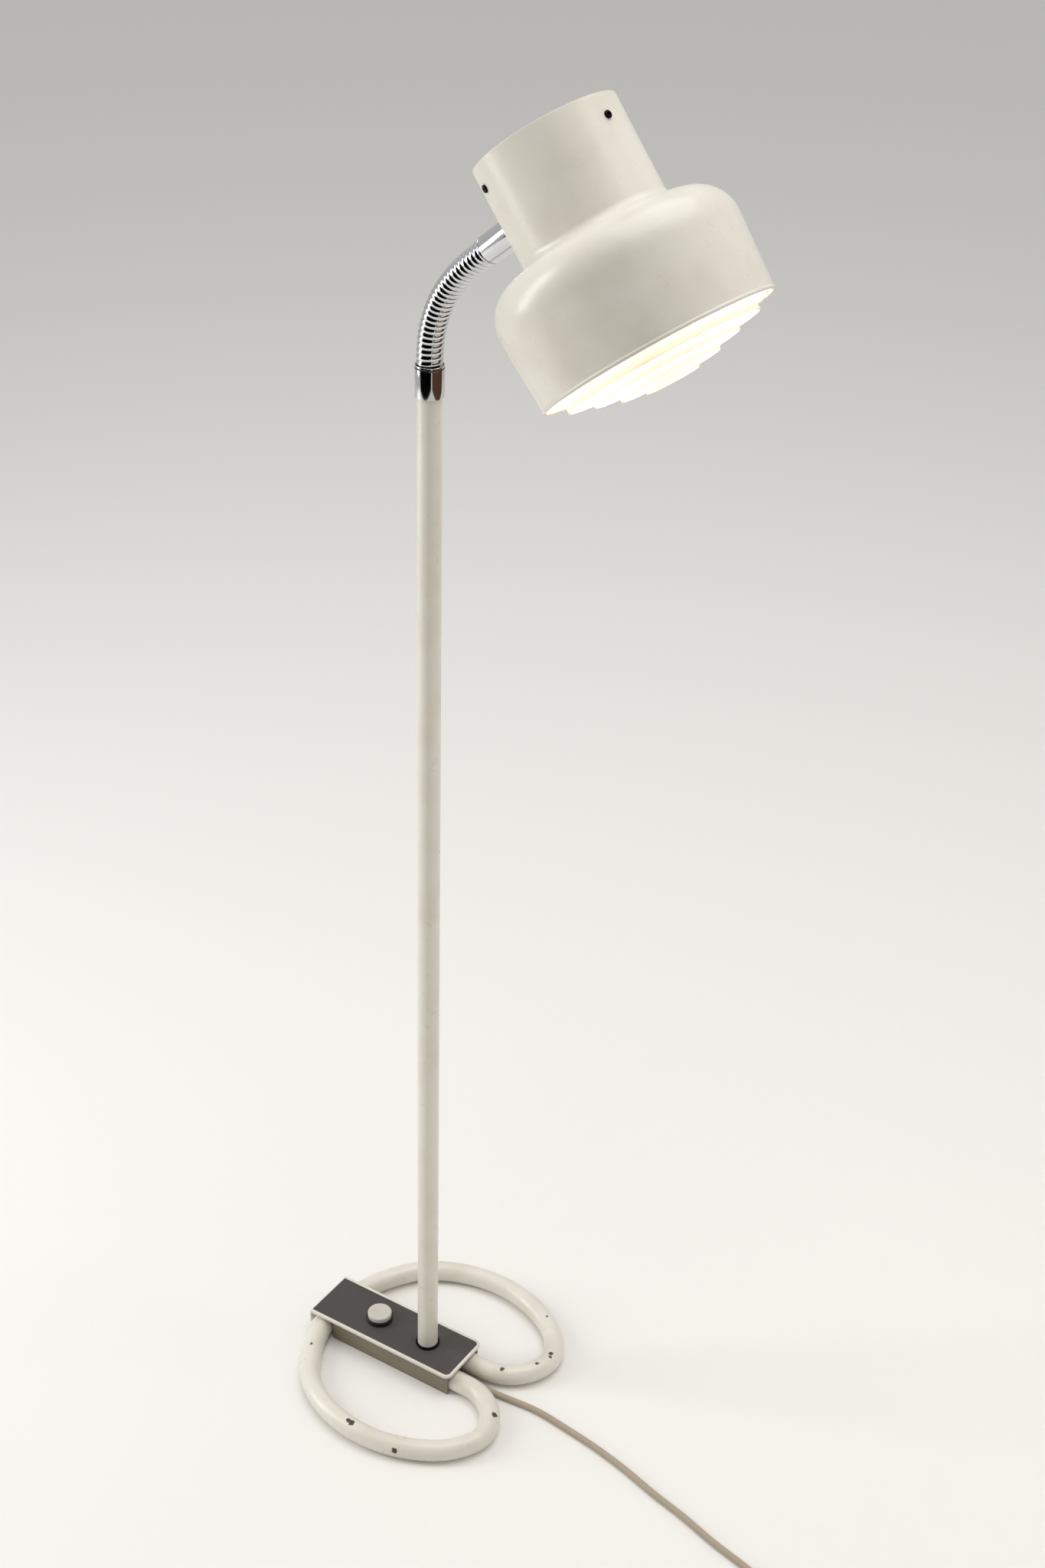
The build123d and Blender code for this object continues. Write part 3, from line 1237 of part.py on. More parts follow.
with BuildPart() as cord_coil:
    with BuildLine() as coil_line:
        Line(coil_entry, coil_in)
        wound_path(coil_state, 0, COIL_TURNS, 0.25)
        Line(coil_out, coil_exit)
    tube(coil_line.wire(), CORD_D)
export(cord_coil.part, "cord_coil")
print("coiled cord length:", round(coil_line.wire().length, 1))
print("cord coil, least gap:", round(least_gap(coil_state, 0, COIL_TURNS, CORD_D, 700), 2))

# a tie round the bundle, a quarter turn from where the cord comes in
tie_angle = COIL_START - 360 * TIE_AT
tie_in_r = COIL_R - COIL_PITCH * coil_mid - cord_r - AIR
tie_out_r = COIL_R - COIL_PITCH * TIE_AT + cord_r + AIR
tie_low_z = coil_low_z - cord_r - AIR
tie_high_z = coil_high_z + cord_r + AIR
tie_w = tie_out_r - tie_in_r
tie_h = tie_high_z - tie_low_z
tie_way = (cos(radians(tie_angle)), sin(radians(tie_angle)), 0)
tie_plane = Plane(
    origin=(COIL_CENTRE[0], COIL_CENTRE[1], 0),
    x_dir=tie_way,
    z_dir=(tie_way[1], -tie_way[0], 0),
)
with BuildPart() as cord_tie:
    with BuildSketch(tie_plane.offset(-TIE_W / 2)):
        with Locations(((tie_in_r + tie_out_r) / 2, (tie_low_z + tie_high_z) / 2)):
            RectangleRounded(tie_w + 2 * TIE_T, tie_h + 2 * TIE_T, TIE_CORNER)
            RectangleRounded(tie_w, tie_h, TIE_CORNER - TIE_T, mode=Mode.SUBTRACT)
    extrude(amount=TIE_W)
export(cord_tie.part, "cord_tie")

plug_foot = Plane(origin=coil_exit, x_dir=(0, 0, 1), z_dir=coil_out_way)
plug_back = plug_foot.offset(RELIEF_L)
plug_face = plug_back.offset(PLUG_L)
pin_spots = [(0, -PIN_SPACING / 2), (0, PIN_SPACING / 2)]
with BuildPart() as plug_body:
    with BuildSketch(plug_foot):
        Circle(RELIEF_D[0] / 2)
    with BuildSketch(plug_back):
        Circle(RELIEF_D[1] / 2)
    loft()
    with BuildSketch(plug_back):
        RectangleRounded(*PLUG_BACK, PLUG_CORNER)
    with BuildSketch(plug_face):
        RectangleRounded(*PLUG_FRONT, PLUG_CORNER)
    loft()
    with BuildSketch(plug_face):
        with Locations(*pin_spots):
            Circle(PIN_SLEEVE_D / 2 + RUN)
    extrude(amount=-PIN_DEPTH, mode=Mode.SUBTRACT)
export(plug_body.part, "plug_body")

with BuildPart() as plug_pins:
    with BuildSketch(plug_face.offset(-PIN_DEPTH)):
        with Locations(*pin_spots):
            Circle(PIN_SLEEVE_D / 2)
    extrude(amount=PIN_DEPTH + PIN_SLEEVE_L)
    with BuildSketch(plug_face.offset(PIN_SLEEVE_L)):
        with Locations(*pin_spots):
            Circle(PIN_D / 2)
    extrude(amount=PIN_TIP_L)
export(plug_pins.part, "plug_pins")
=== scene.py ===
"""Gooseneck reading floor lamp: the shape and finish of every piece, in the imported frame.

Metres, +X forward, +Y left, +Z up, origin on the post's axis at floor level. Sections and routes are in mm.
"""
from math import asin, cos, pi, radians, sin, sqrt, tan

import bmesh
import bpy
from bpy.props import FloatProperty, FloatVectorProperty, IntProperty, PointerProperty
from mathutils import Matrix, Vector


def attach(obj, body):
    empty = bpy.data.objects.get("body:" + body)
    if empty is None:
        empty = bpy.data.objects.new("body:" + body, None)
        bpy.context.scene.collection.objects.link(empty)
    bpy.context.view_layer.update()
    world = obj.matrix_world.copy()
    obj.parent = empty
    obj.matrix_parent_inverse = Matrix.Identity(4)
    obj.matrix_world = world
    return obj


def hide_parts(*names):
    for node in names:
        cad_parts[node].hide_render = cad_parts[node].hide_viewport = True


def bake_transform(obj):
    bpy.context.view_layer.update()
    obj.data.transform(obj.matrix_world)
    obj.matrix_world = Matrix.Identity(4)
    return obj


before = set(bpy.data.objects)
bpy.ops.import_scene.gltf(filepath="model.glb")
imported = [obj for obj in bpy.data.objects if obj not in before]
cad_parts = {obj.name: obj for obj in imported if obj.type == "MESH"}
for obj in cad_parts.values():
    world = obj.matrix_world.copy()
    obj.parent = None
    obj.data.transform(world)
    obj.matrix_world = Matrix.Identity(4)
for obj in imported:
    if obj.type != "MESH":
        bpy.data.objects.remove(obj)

bl_info = {
    "name": "Gooseneck Floor Lamp",
    "version": (1, 0, 0),
    "blender": (4, 5, 0),
    "location": "View3D > Sidebar > Lamp",
    "description": "Builds a gooseneck reading floor lamp, piece by piece",
    "category": "Add Mesh",
}

MM = 0.001
FULL_TURN = 2 * pi
NEAR = 1e-6  # two places closer than this are one
HAIR = 1e-5  # a cut this far from an edge leaves the edge alone

# ---- studio: the camera as fitted to the photograph, metres and radians ------------------------
CAMERA_AT = (0.96507, -1.38577, 1.67088)
CAMERA_TURN = 2.13181
CAMERA_DIP = 0.53361
CAMERA_ROLL = -0.02612
CAMERA_LENS = 52.734
CAMERA_SENSOR = 36.0
CAMERA_REACH = 200.0
FLOOR_W = 60.0
ROOM_LIGHT = 0.55
LAMPS_AIM = Vector((0, 0, 0.7))
# azimuth, distance and height from the post; width and height of the panel; watts; colour
LAMPS = (
    ("key", -150.0, 2.1, 1.25, 0.6, 1.9, 26.0, "#FFFFFF"),
    ("overhead", 60.0, 0.5, 3.0, 2.2, 2.2, 34.0, "#FFFFFF"),
    ("fill", 25.0, 2.4, 1.5, 0.9, 1.6, 9.0, "#FFF3E6"),
)
# cards that only mirrors see: black for the dark band down the chrome, brown to its right
CARDS = (("black_card", -88.0, "#060606"), ("brown_card", 6.0, "#5A4034"))
CARD_W = 3.0
CARD_H = 3.2
CARD_REACH = 1.6
CARD_UP = 1.62
CARDS_AIM = Vector((0, 0, 1.6))

# ---- patterns of the finishes, in noise cells to a metre ---------------------------------------
YELLOWING = 22.0  # clouds 45 mm across
RUBBING = 80.0  # rubbed and handled patches 12 mm across
PEEL = 330.0  # orange peel is about 1.5 mm from crest to crest, drawn at 3 mm so that it shows
DENTS = 28.0  # soft waves 36 mm across
RAGGED = 500.0  # teeth of 2 mm round a chip
PATCHES = 60.0  # patches 17 mm across
OPAL = 40.0  # waves 25 mm across
RAGGED_REACH = 3.5  # how far the teeth shift a chip's edge, mm
MIX_COLOUR = 2  # the Mix node's output for colours
BULB_GLOW = 42.0

# ---- flexible neck and head, metres where no other unit is given -------------------------------
# how far each two-turn stretch leans forward from the one below it, degrees
NECK_LEANS = (4.0, 5.5, 5.5, 5.5, 5.5, 5.5, 5.0, 4.5, 4.0, 3.0, 1.5, 1.5)
NECK_FOOT = 1.0465
HEAD_TURN = -6.0  # of the head against the base, degrees
NECK_TO_SHADE = 0.039
SHADE_ENTRY = 0.129  # height on the shade where the neck enters it
WIRE_STEPS = 48  # places in one turn of the winding
WIRE_HALF_W = 0.425  # of the pitch
WIRE_RISE = 0.00055  # of the wire's crown over its edges
WIRE_DEEP = 0.0019
GROOVE_WIRE_R = 0.0005
GROOVE_WIRE_IN = 0.0012  # from the crown in to this wire's middle
CORE_IN = 0.0017
CORE_STRIDE = 8  # the core takes every eighth place
SLEEVE_SINK = 0.0015  # of the upper ferrule over the winding
SLEEVE_L = 40.5  # mm
SHADE_SCREWS = 3
SHADE_SCREW_UP = 0.155
SHADE_SCREW_OFF = 0.0001  # a flat head stands this far off the round wall
GRUB_UP = 0.0285
GRUB_TURN = 235.0  # degrees round the ferrule
GRUB_L = 3.6  # mm
GRUB_SUNK = 0.4  # mm
SHOULDER = 90.0  # its height, mm
DRUM_EDGE = 57.0  # height up to which the drum widens, mm
RIM_BEAD_R = 0.0016
SHADE_STEPS = 192
# upper radius and lower edge of each louvre ring, and their height, mm
LOUVRE_R = (74.0, 55.5, 37.0, 18.5)
LOUVRE_LOW = (-8.9, -14.3, -19.7, -23.2)
LOUVRE_H = 18.0

# ---- base, metres where no other unit is given -------------------------------------------------
# one half of the bar, from its rear crossing: (radius, angle) of a bend, (length, 0) of a straight, mm
BAR_BENDS = ((132.0, 33.0), (9.0, 0), (76.0, 24.0), (130.0, 66.0), (70.5, 33.0), (30.5, 36.5))
BAR_REAR_X = -112.7
BAR_LANE = 14.5  # from the middle to the bar's ends under the cover
BAR_END_X = 14.0  # mm, as the two before
BAR_TURNED = 270.0  # how far all bends together turn the bar, degrees
BAR_SIDES = 40
BAR_STEP = 2.2  # degrees of a bend in one row of faces
# knocks in the bar's lacquer: place and size, mm
BAR_CHIPS = (
    (-2.6, -124.2, 19.8, 6.2),
    (-6.6, -123.6, 19.6, 4.6),
    (48.9, -125.6, 13.4, 5.2),
    (105.3, -37.8, 18.7, 6.0),
    (102.7, 41.8, 20.0, 3.4),
    (106.9, 60.8, 20.0, 4.6),
    (108.9, 56.8, 19.6, 3.4),
    (78.3, 16.0, 19.7, 4.4),
    (-98.1, -62.2, 20.0, 3.0),
    (75.7, 102.9, 20.0, 2.8),
)
COVER_REAR = -0.1245
COVER_FRONT = 0.0453
COVER_LOW = 0.023
COVER_THICK = 0.003
INLAY_THICK = 0.0015
INLAY_GAP = 0.0001
FOLD_THICK = 0.0015
FOLD_DROP = 0.012
FOLD_ROUND = 0.0012
SWITCH_X = -59.0  # mm
SPRING_WIRE_R = 0.3  # mm
SPRING_R = 4.0  # mm
SPRING_LOW = 9.3  # mm
SPRING_HIGH = 13.7  # mm
SPRING_TURNS = 3
SPRING_STEPS = 32  # in one turn

# ---- cord, mm where no other unit is given -----------------------------------------------------
# the cord's route from its clamp, down to the floor and along it, mm
CORD_ROUTE = (
    (22.0, 0.0, 5.0),
    (48.0, 0.0, 5.0),
    (74.0, -2.0, 3.0),
    (101.0, 0.6, 3.0),
    (129.0, 3.2, 3.0),
    (163.0, -0.8, 3.0),
    (201.0, -5.6, 3.0),
    (240.0, -14.0, 3.0),
    (276.0, -24.6, 3.0),
    (313.0, -32.4, 3.0),
    (350.0, -44.0, 3.0),
    (388.0, -51.5, 3.0),
)
COIL_CENTRE = Vector((469.0, -124.7, 0.0))
COIL_START = 73.6  # azimuth of its first point, degrees
COIL_R = 46.0
COIL_PITCH = 6.7
COIL_TURNS = 6.5
COIL_LOW_Z = 4.2
COIL_CLIMB = 0.5  # of a turn, in which the cord climbs to the upper layer
COIL_POINTS = 16  # control points in one turn
COIL_TOUCH = 6.0  # from the cord's last free point to the coil
COIL_NEAR = 16.0  # from that point back to the one before
COIL_LEAD = 48.0  # and to the one before that
PLUG_LEAD = 12.0  # from the coil's last point to the plug
# strain relief: a cone with ribs
RELIEF_R = 3.7
RELIEF_WIDENS = 1.5
RELIEF_L = 26.0
RIBS = 6
RIB_START = 3.0
RIB_PITCH = 3.6
# steps of the plug's body: rise in mm, width and depth as shares of the step below
PLUG_STEPS = ((4.0, 1.0, 1.08), (8.0, 0.96, 1.12), (10.0, 1.06, 1.22), (10.0, 1.1, 1.13), (6.0, 1.02, 1.04))
PIN_SIDE = 9.3  # mm
PIN_ROOT = 0.064  # metres from the strain relief's foot to the plug's front
PIN_SLEEVE_L = 0.010  # metres
TIE_ROOM = 3.3  # from the outer cords' middle to the tie, mm
TIE_THICK = 0.8  # mm
TIE_W = 0.006  # metres

# ---- inner wires, mm ---------------------------------------------------------------------------
CABLE_D = 0.005  # metres
LEAD_D = 0.002  # metres
POST_RISER = ((-28, 0, 4.8), (-8, 0, 4.8), (0, 0, 4.8), (0, 0, 12.8), (0, 0, 300), (0, 0, 1042))
# distance from the shade's axis, and height
HEAD_DROP = ((-49.4, 129), (-46.4, 129), (-40.4, 129), (-40.4, 135), (-40.4, 157.5), (-40.4, 165.5))
HEAD_DROP += ((-32.4, 165.5), (-8, 165.5), (0, 165.5), (0, 157.5), (0, 142))
CORE_RUN = ((22, 1.4, 5), (14, 1.4, 5), (2, 6.5, 6), (-20, 5, 10.5), (-32, 5, 10.5))
SWITCH_RUN = ((-38, 5, 10.5), (-42, 5, 10.5), (-46, 5, 10.5))

# nodes that keep their built shape, by finish
FITTINGS = {
    # the housing's darker tone is partly painted shade from the cover's overhang
    "housing": ("housing",),
    "zinc": (
        "bar_saddles", "housing_pillars", "base_screws", "foot_plate", "foot_nut", "post_plugs",
        "neck_washer", "head_nipples", "head_nuts", "button_retainer",
    ),
    "phenolic": ("switch_body", "switch_lid", "lampholder_shell"),
    "nylon": ("terminal_block",),
    "plug": ("cord_clamp",),
    "brass": ("terminal_screws", "holder_contacts"),
    "porcelain": ("lampholder_core",),
    "aluminium": ("holder_plate", "bulb_cap"),
    "bulb": ("bulb_glass",),
    "enamel": ("louvre_spokes",),
}


def linear(code):
    """An sRGB hex colour as linear RGBA."""
    parts = [int(code[i : i + 2], 16) / 255 for i in (1, 3, 5)]
    return tuple(c / 12.92 if c <= 0.04045 else ((c + 0.055) / 1.055) ** 2.4 for c in parts) + (1.0,)


def size(label, text, value):
    """A length that the user can change."""
    return FloatProperty(name=label, description=text, default=value, min=0.0, unit="LENGTH")


def tint(label, text, code):
    """A colour that the user can change."""
    return FloatVectorProperty(
        name=label, description=text, default=linear(code), size=4, min=0.0, max=1.0, subtype="COLOR"
    )


class LampSizes(bpy.types.PropertyGroup):
    """Sizes of the pieces that are modelled here."""

    bar_d: size("Bar", "Diameter of the base bar", 0.020)
    cover_w: size("Cover width", "Width of the base cover", 0.060)
    cover_corner: size("Cover corner", "Radius of the cover's front corners", 0.007)
    panel_margin: size("Cover edge", "Width of the pale edge round the dark inlay", 0.0028)
    button_r: size("Button", "Radius of the foot switch button", 0.012)
    post_r: size("Post", "Radius of the post", 0.010)
    post_wall: size("Post wall", "Wall of the post's tube", 0.0012)
    post_top: size("Post top", "Height of the tube's upper end", 1.034)
    ferrule_r: size("Ferrule", "Radius of the two chromed ferrules", 0.0118)
    turn_pitch: size("Neck pitch", "Rise of the flexible neck's winding in one turn", 0.00478)
    neck_r: size("Flexible neck", "Radius over the flexible neck's winding", 0.0106)
    shade_r: size("Drum", "Radius of the shade's drum", 0.0954)
    mouth_r: size("Mouth", "Radius of the shade's mouth", 0.0923)
    collar_r: size("Shade neck", "Radius of the shade's neck", 0.057)
    shade_h: size("Shade height", "Height of the shade", 0.172)
    shade_wall: size("Shade wall", "Wall of the spun shade", 0.0012)
    cord_d: size("Cord", "Diameter of the mains cord", 0.006)
    steps: IntProperty(name="Steps", description="Faces round a turned piece", default=96, min=24, max=256)


class LampColours(bpy.types.PropertyGroup):
    """Colours of the finishes."""

    lacquer: tint("Lacquer", "Satin lacquer on bar, post, cover and shade", "#DCD8CC")
    lacquer_aged: tint("Aged lacquer", "Where the lacquer has yellowed", "#C9C2AF")
    chip: tint("Chips", "Bare, darkened steel in the knocks", "#4A3B30")
    enamel: tint("Shade inside", "White lacquer inside the shade and on the louvre", "#F1EFE9")
    # the housing's darker tone is partly painted shade from the cover's overhang
    housing: tint("Housing", "Painted sheet of the switch housing", "#7B7260")
    inlay: tint("Inlay", "Dark matt inlay of the cover", "#443F3D")
    button: tint("Button", "Pale foot switch button", "#C6C1B7")
    # the collar's near-black stands partly for the button's shadow on the inlay
    collar: tint("Collar", "Dark collar round the button", "#1E1B1A")
    chrome: tint("Chrome", "Polished chrome plating", "#D5D7D8")
    zinc: tint("Zinc", "Zinc-plated steel fittings", "#A9ABAA")
    # also the colour of the neck's core and of the ferrules' grooves and bores, where it is painted shade
    black_steel: tint("Black steel", "Blackened screws and washer", "#1D1C1C")
    aluminium: tint("Aluminium", "Pressed aluminium", "#C4C5C6")
    brass: tint("Brass", "Plain brass contacts", "#C8A25A")
    porcelain: tint("Porcelain", "Glazed lamp holder core", "#ECE8DE")
    phenolic: tint("Phenolic", "Black moulded phenolic resin", "#181615")
    nylon: tint("Nylon", "Natural polyamide of the terminal block", "#DDD8C8")
    pvc: tint("Cord", "Soft PVC sheath", "#A89A84")
    plug: tint("Plug", "Moulded PVC plug", "#8C806F")
    glow: tint("Glow", "Warm light of the bulb", "#FFE2BE")


# ---- nodes and materials -----------------------------------------------------------------------
def add_node(tree, kind, sockets=None, **settings):
    """Add a node with its settings; each socket gets a value, or a link from a node or an output."""
    node = tree.nodes.new("ShaderNode" + kind)
    for name, value in settings.items():
        setattr(node, name, value)
    for key, value in (sockets or {}).items():
        socket = next(s for s in node.inputs if s.identifier == key)
        if isinstance(value, bpy.types.Node):
            value = next(s for s in value.outputs if s.enabled)
        if isinstance(value, bpy.types.NodeSocket):
            tree.links.new(value, socket)
        else:
            socket.default_value = value
    return node


def new_material(name):
    """An empty node material, its tree, and its Object coordinates."""
    material = bpy.data.materials.new(name)
    material.use_nodes = True
    tree = material.node_tree
    tree.nodes.clear()
    return material, tree, add_node(tree, "TexCoord").outputs["Object"]


def satin_lacquer(name, fresh, aged, bare, chips=(), scuffs=0.0):
    """Stove lacquer on steel, decades old.

    An even satin with a faint orange peel that softens highlights, cloudy yellowing, and small ragged
    knocks, sunk through to darkened steel.
    """
    material, tree, where = new_material(name)
    cloud = add_node(tree, "TexNoise", {"Vector": where, "Scale": YELLOWING, "Detail": 3.0})
    share = add_node(tree, "MapRange", {"Value": cloud, "From Min": 0.45, "From Max": 0.8, "To Max": 0.55})
    mixed = {"Factor_Float": share, "A_Color": fresh, "B_Color": aged}
    colour = add_node(tree, "Mix", mixed, data_type="RGBA").outputs[MIX_COLOUR]
    rubbed = add_node(tree, "TexNoise", {"Vector": where, "Scale": RUBBING, "Detail": 4.0})
    glossy = {"Value": rubbed, "From Min": 0.3, "From Max": 0.75, "To Min": 0.26, "To Max": 0.42 - scuffs}
    gloss = add_node(tree, "MapRange", glossy)
    peel = add_node(tree, "TexNoise", {"Vector": where, "Scale": PEEL, "Detail": 1.0})
    dents = add_node(tree, "TexNoise", {"Vector": where, "Scale": DENTS, "Detail": 2.0})
    # dents are deeper than the peel, and deeper still on thin spun sheet
    depths = {"Value": dents, "Value_001": 4.0 + 40.0 * scuffs, "Value_002": peel}
    height = add_node(tree, "Math", depths, operation="MULTIPLY_ADD")
    bump = add_node(tree, "Bump", {"Height": height, "Strength": 0.1, "Distance": 0.0004})
    if chips:
        ragged = add_node(tree, "TexNoise", {"Vector": where, "Scale": RAGGED, "Detail": 2.0})
        teeth = {"Vector": ragged.outputs["Color"], "Scale": RAGGED_REACH * MM}
        shift = add_node(tree, "VectorMath", teeth, operation="SCALE")
        spot = add_node(tree, "VectorMath", {"Vector": where, "Vector_001": shift}, operation="ADD")
        nearest = None
        for x, y, z, across in chips:
            # the noise moves a point by half its reach on average, which the centre takes up
            centre = [(c + RAGGED_REACH / 2) * MM for c in (x, y, z)]
            ends = {"Vector": spot, "Vector_001": centre}
            away = add_node(tree, "VectorMath", ends, operation="DISTANCE").outputs["Value"]
            past = {"Value": away, "Value_001": across / 2 * MM}
            inside = add_node(tree, "Math", past, operation="SUBTRACT")
            if nearest:
                both = {"Value": inside, "Value_001": nearest}
                inside = add_node(tree, "Math", both, operation="MINIMUM")
            nearest = inside
        edge = {"Value": nearest, "From Min": 0.0003, "From Max": -0.0002, "To Min": 0.0, "To Max": 1.0}
        bared = add_node(tree, "MapRange", edge)
        mixed = {"Factor_Float": bared, "A_Color": colour, "B_Color": bare}
        colour = add_node(tree, "Mix", mixed, data_type="RGBA").outputs[MIX_COLOUR]
        sunk = {"Height": bared, "Strength": 0.6, "Distance": 0.0003, "Normal": bump}
        bump = add_node(tree, "Bump", sunk, invert=True)
    shader = add_node(
        tree, "BsdfPrincipled", {"Base Color": colour, "Roughness": gloss, "Normal": bump, "IOR": 1.5}
    )
    add_node(tree, "OutputMaterial", {"Surface": shader})
    return material


def smooth_coat(name, colour, rough, grain_mm, depth=0.1, metallic=0.0, spread=0.08, ior=1.5, streak=None):
    """A moulded, plated or painted surface: one colour, a grain of real size and an uneven gloss."""
    material, tree, where = new_material(name)
    if streak:
        # drawn out along one axis, as turning and brushing leave it
        where = add_node(tree, "Mapping", {"Vector": where, "Scale": streak})
    grain = add_node(tree, "TexNoise", {"Vector": where, "Scale": 1 / (grain_mm * MM), "Detail": 3.0})
    patches = add_node(tree, "TexNoise", {"Vector": where, "Scale": PATCHES, "Detail": 2.0})
    uneven = {"Value": patches, "From Min": 0.3, "From Max": 0.7}
    uneven |= {"To Min": rough - spread / 2, "To Max": rough + spread / 2}
    gloss = add_node(tree, "MapRange", uneven)
    clouded = {"Value": patches, "From Min": 0.2, "From Max": 0.8, "To Min": 0.0, "To Max": 0.35}
    share = add_node(tree, "MapRange", clouded)
    darker = tuple(0.8 * c for c in colour[:3]) + (1.0,)
    mixed = {"Factor_Float": share, "A_Color": tuple(colour), "B_Color": darker}
    tone = add_node(tree, "Mix", mixed, data_type="RGBA").outputs[MIX_COLOUR]
    bump = add_node(tree, "Bump", {"Height": grain, "Strength": depth, "Distance": 0.0002})
    sockets = {"Base Color": tone, "Roughness": gloss, "Normal": bump, "Metallic": metallic}
    if not metallic:
        sockets["IOR"] = ior
    shader = add_node(tree, "BsdfPrincipled", sockets)
    add_node(tree, "OutputMaterial", {"Surface": shader})
    return material


def lit_glass(name, glass, colour, glow):
    """Opal glass with the lamp lit behind it: an even, warm light."""
    material, tree, where = new_material(name)
    cloud = add_node(tree, "TexNoise", {"Vector": where, "Scale": OPAL, "Detail": 1.0})
    bump = add_node(tree, "Bump", {"Height": cloud, "Strength": 0.05, "Distance": 0.0002})
    sockets = {"Base Color": linear(glass), "Roughness": 0.25, "Normal": bump}
    sockets |= {"Emission Color": tuple(colour), "Emission Strength": glow}
    shader = add_node(tree, "BsdfPrincipled", sockets)
    add_node(tree, "OutputMaterial", {"Surface": shader})
    return material


FINISHES = {}


def make_finishes(tints):
    """Every finish of the lamp, named for what the real one is; a few also carry painted shade."""
    lacquer = (tints.lacquer, tints.lacquer_aged, tints.chip)
    FINISHES.update(
        # satin stove lacquer with knocks down to the steel
        bar=satin_lacquer("stove_lacquer_bar", *lacquer, BAR_CHIPS),
        lacquer=satin_lacquer("stove_lacquer", *lacquer),
        # the same lacquer on spun sheet, with soft dents and a slightly livelier gloss
        shade=satin_lacquer("stove_lacquer_shade", *lacquer, scuffs=0.08),
        # white lacquer, matt and bright, that throws the light down
        enamel=smooth_coat("white_lacquer", tints.enamel, 0.5, 1.2, 0.06),
        # painted sheet steel; its dark tone is partly painted shade from the cover's overhang
        housing=smooth_coat("sheet_with_painted_shade", tints.housing, 0.42, 1.5, 0.08),
        # matt laminate with a fine tooth, drawn at 0.9 mm so that it shows
        inlay=smooth_coat("matt_laminate", tints.inlay, 0.58, 0.9, 0.16, spread=0.12),
        # injection-moulded urea resin, satin and faintly warm
        button=smooth_coat("moulded_urea", tints.button, 0.36, 1.1, 0.05),
        # turned black phenolic, half matt; its near-black stands partly for the button's shadow on the inlay
        collar=smooth_coat("black_collar_and_shadow", tints.collar, 0.4, 0.8, 0.05),
        # polished chrome: mirror reflections, faint haze from handling
        chrome=smooth_coat("polished_chrome", tints.chrome, 0.075, 9.0, 0.015, metallic=1.0, spread=0.05),
        # dark core between the turns: its dark colour is painted shade in the grooves, and it also darkens
        # the ferrules' grooves and bores as painted shade
        core=smooth_coat("groove_shade_dark", tints.black_steel, 0.5, 1.0, metallic=1.0),
        # zinc plating, cloudy and half matt
        zinc=smooth_coat("zinc_plate", tints.zinc, 0.36, 1.4, 0.08, metallic=1.0, spread=0.16),
        # blackened steel, satin and close to black; on the foot washer its black stands partly for painted
        # shade round the post's foot
        black_steel=smooth_coat("blackened_steel", tints.black_steel, 0.34, 0.8, 0.06, metallic=1.0),
        # pressed aluminium with drawn lines
        aluminium=smooth_coat(
            "pressed_aluminium", tints.aluminium, 0.3, 1.0, metallic=1.0, streak=(1.0, 1.0, 0.15)
        ),
        # plain brass, slightly tarnished
        brass=smooth_coat("plain_brass", tints.brass, 0.28, 1.2, 0.06, metallic=1.0, spread=0.14),
        # glazed porcelain, wet gloss over white
        porcelain=smooth_coat("glazed_porcelain", tints.porcelain, 0.12, 3.0, 0.05),
        # compression-moulded phenolic resin, an even half gloss
        phenolic=smooth_coat("phenolic_resin", tints.phenolic, 0.3, 1.2, 0.05),
        # moulded polyamide, waxy and pale
        nylon=smooth_coat("polyamide", tints.nylon, 0.42, 1.6, 0.06, ior=1.53),
        # extruded soft PVC, matt with a fine grain
        pvc=smooth_coat("pvc_sheath", tints.pvc, 0.5, 1.3, ior=1.53),
        # the same PVC moulded, a little glossier
        plug=smooth_coat("moulded_pvc", tints.plug, 0.44, 0.9, 0.12, ior=1.53),
        # opal glass, lit
        bulb=lit_glass("opal_glass_lit", "#FBF8F0", tints.glow, BULB_GLOW),
    )


# ---- shapes ------------------------------------------------------------------------------------
def finished(context, name, bm, body, finishes, node, sharp=35.0):
    """Make the piece from its mesh, shade it, and let it ride on its body in place of a built node."""
    mesh = bpy.data.meshes.new(name)
    bm.to_mesh(mesh)
    bm.free()
    for finish in finishes:
        mesh.materials.append(FINISHES[finish])
    mesh.shade_smooth()
    mesh.set_sharp_from_angle(angle=radians(sharp))
    obj = bpy.data.objects.new(name, mesh)
    context.scene.collection.objects.link(obj)
    if body:
        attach(obj, body)
    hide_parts(node)
    return obj


def wire_piece(context, name, lines, diameter, body, nodes, place=Matrix()):
    """A round PVC cord or wire along smooth lines, each through its control points in mm."""
    curve = bpy.data.curves.new(name, "CURVE")
    curve.dimensions = "3D"
    curve.bevel_depth = diameter / 2
    curve.bevel_resolution = 5
    curve.resolution_u = 6
    curve.use_fill_caps = True
    for line in lines:
        spline = curve.splines.new("NURBS")
        spline.points.add(len(line) - 1)
        for point, spot in zip(spline.points, line):
            point.co = (*(place @ (Vector(spot) * MM)), 1.0)
        spline.order_u = 3
        spline.use_endpoint_u = True
    curve.materials.append(FINISHES["pvc"])
    obj = bpy.data.objects.new(name, curve)
    context.scene.collection.objects.link(obj)
    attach(obj, body)
    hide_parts(*nodes)
    return obj


def tidy(bm):
    """Close the seams and turn every face outwards."""
    bmesh.ops.remove_doubles(bm, verts=bm.verts, dist=2 * NEAR)
    bmesh.ops.recalc_face_normals(bm, faces=bm.faces)
    return bm


def capped(bm):
    """Close every open end."""
    bmesh.ops.holes_fill(bm, edges=[e for e in bm.edges if e.is_boundary], sides=0)
    return tidy(bm)


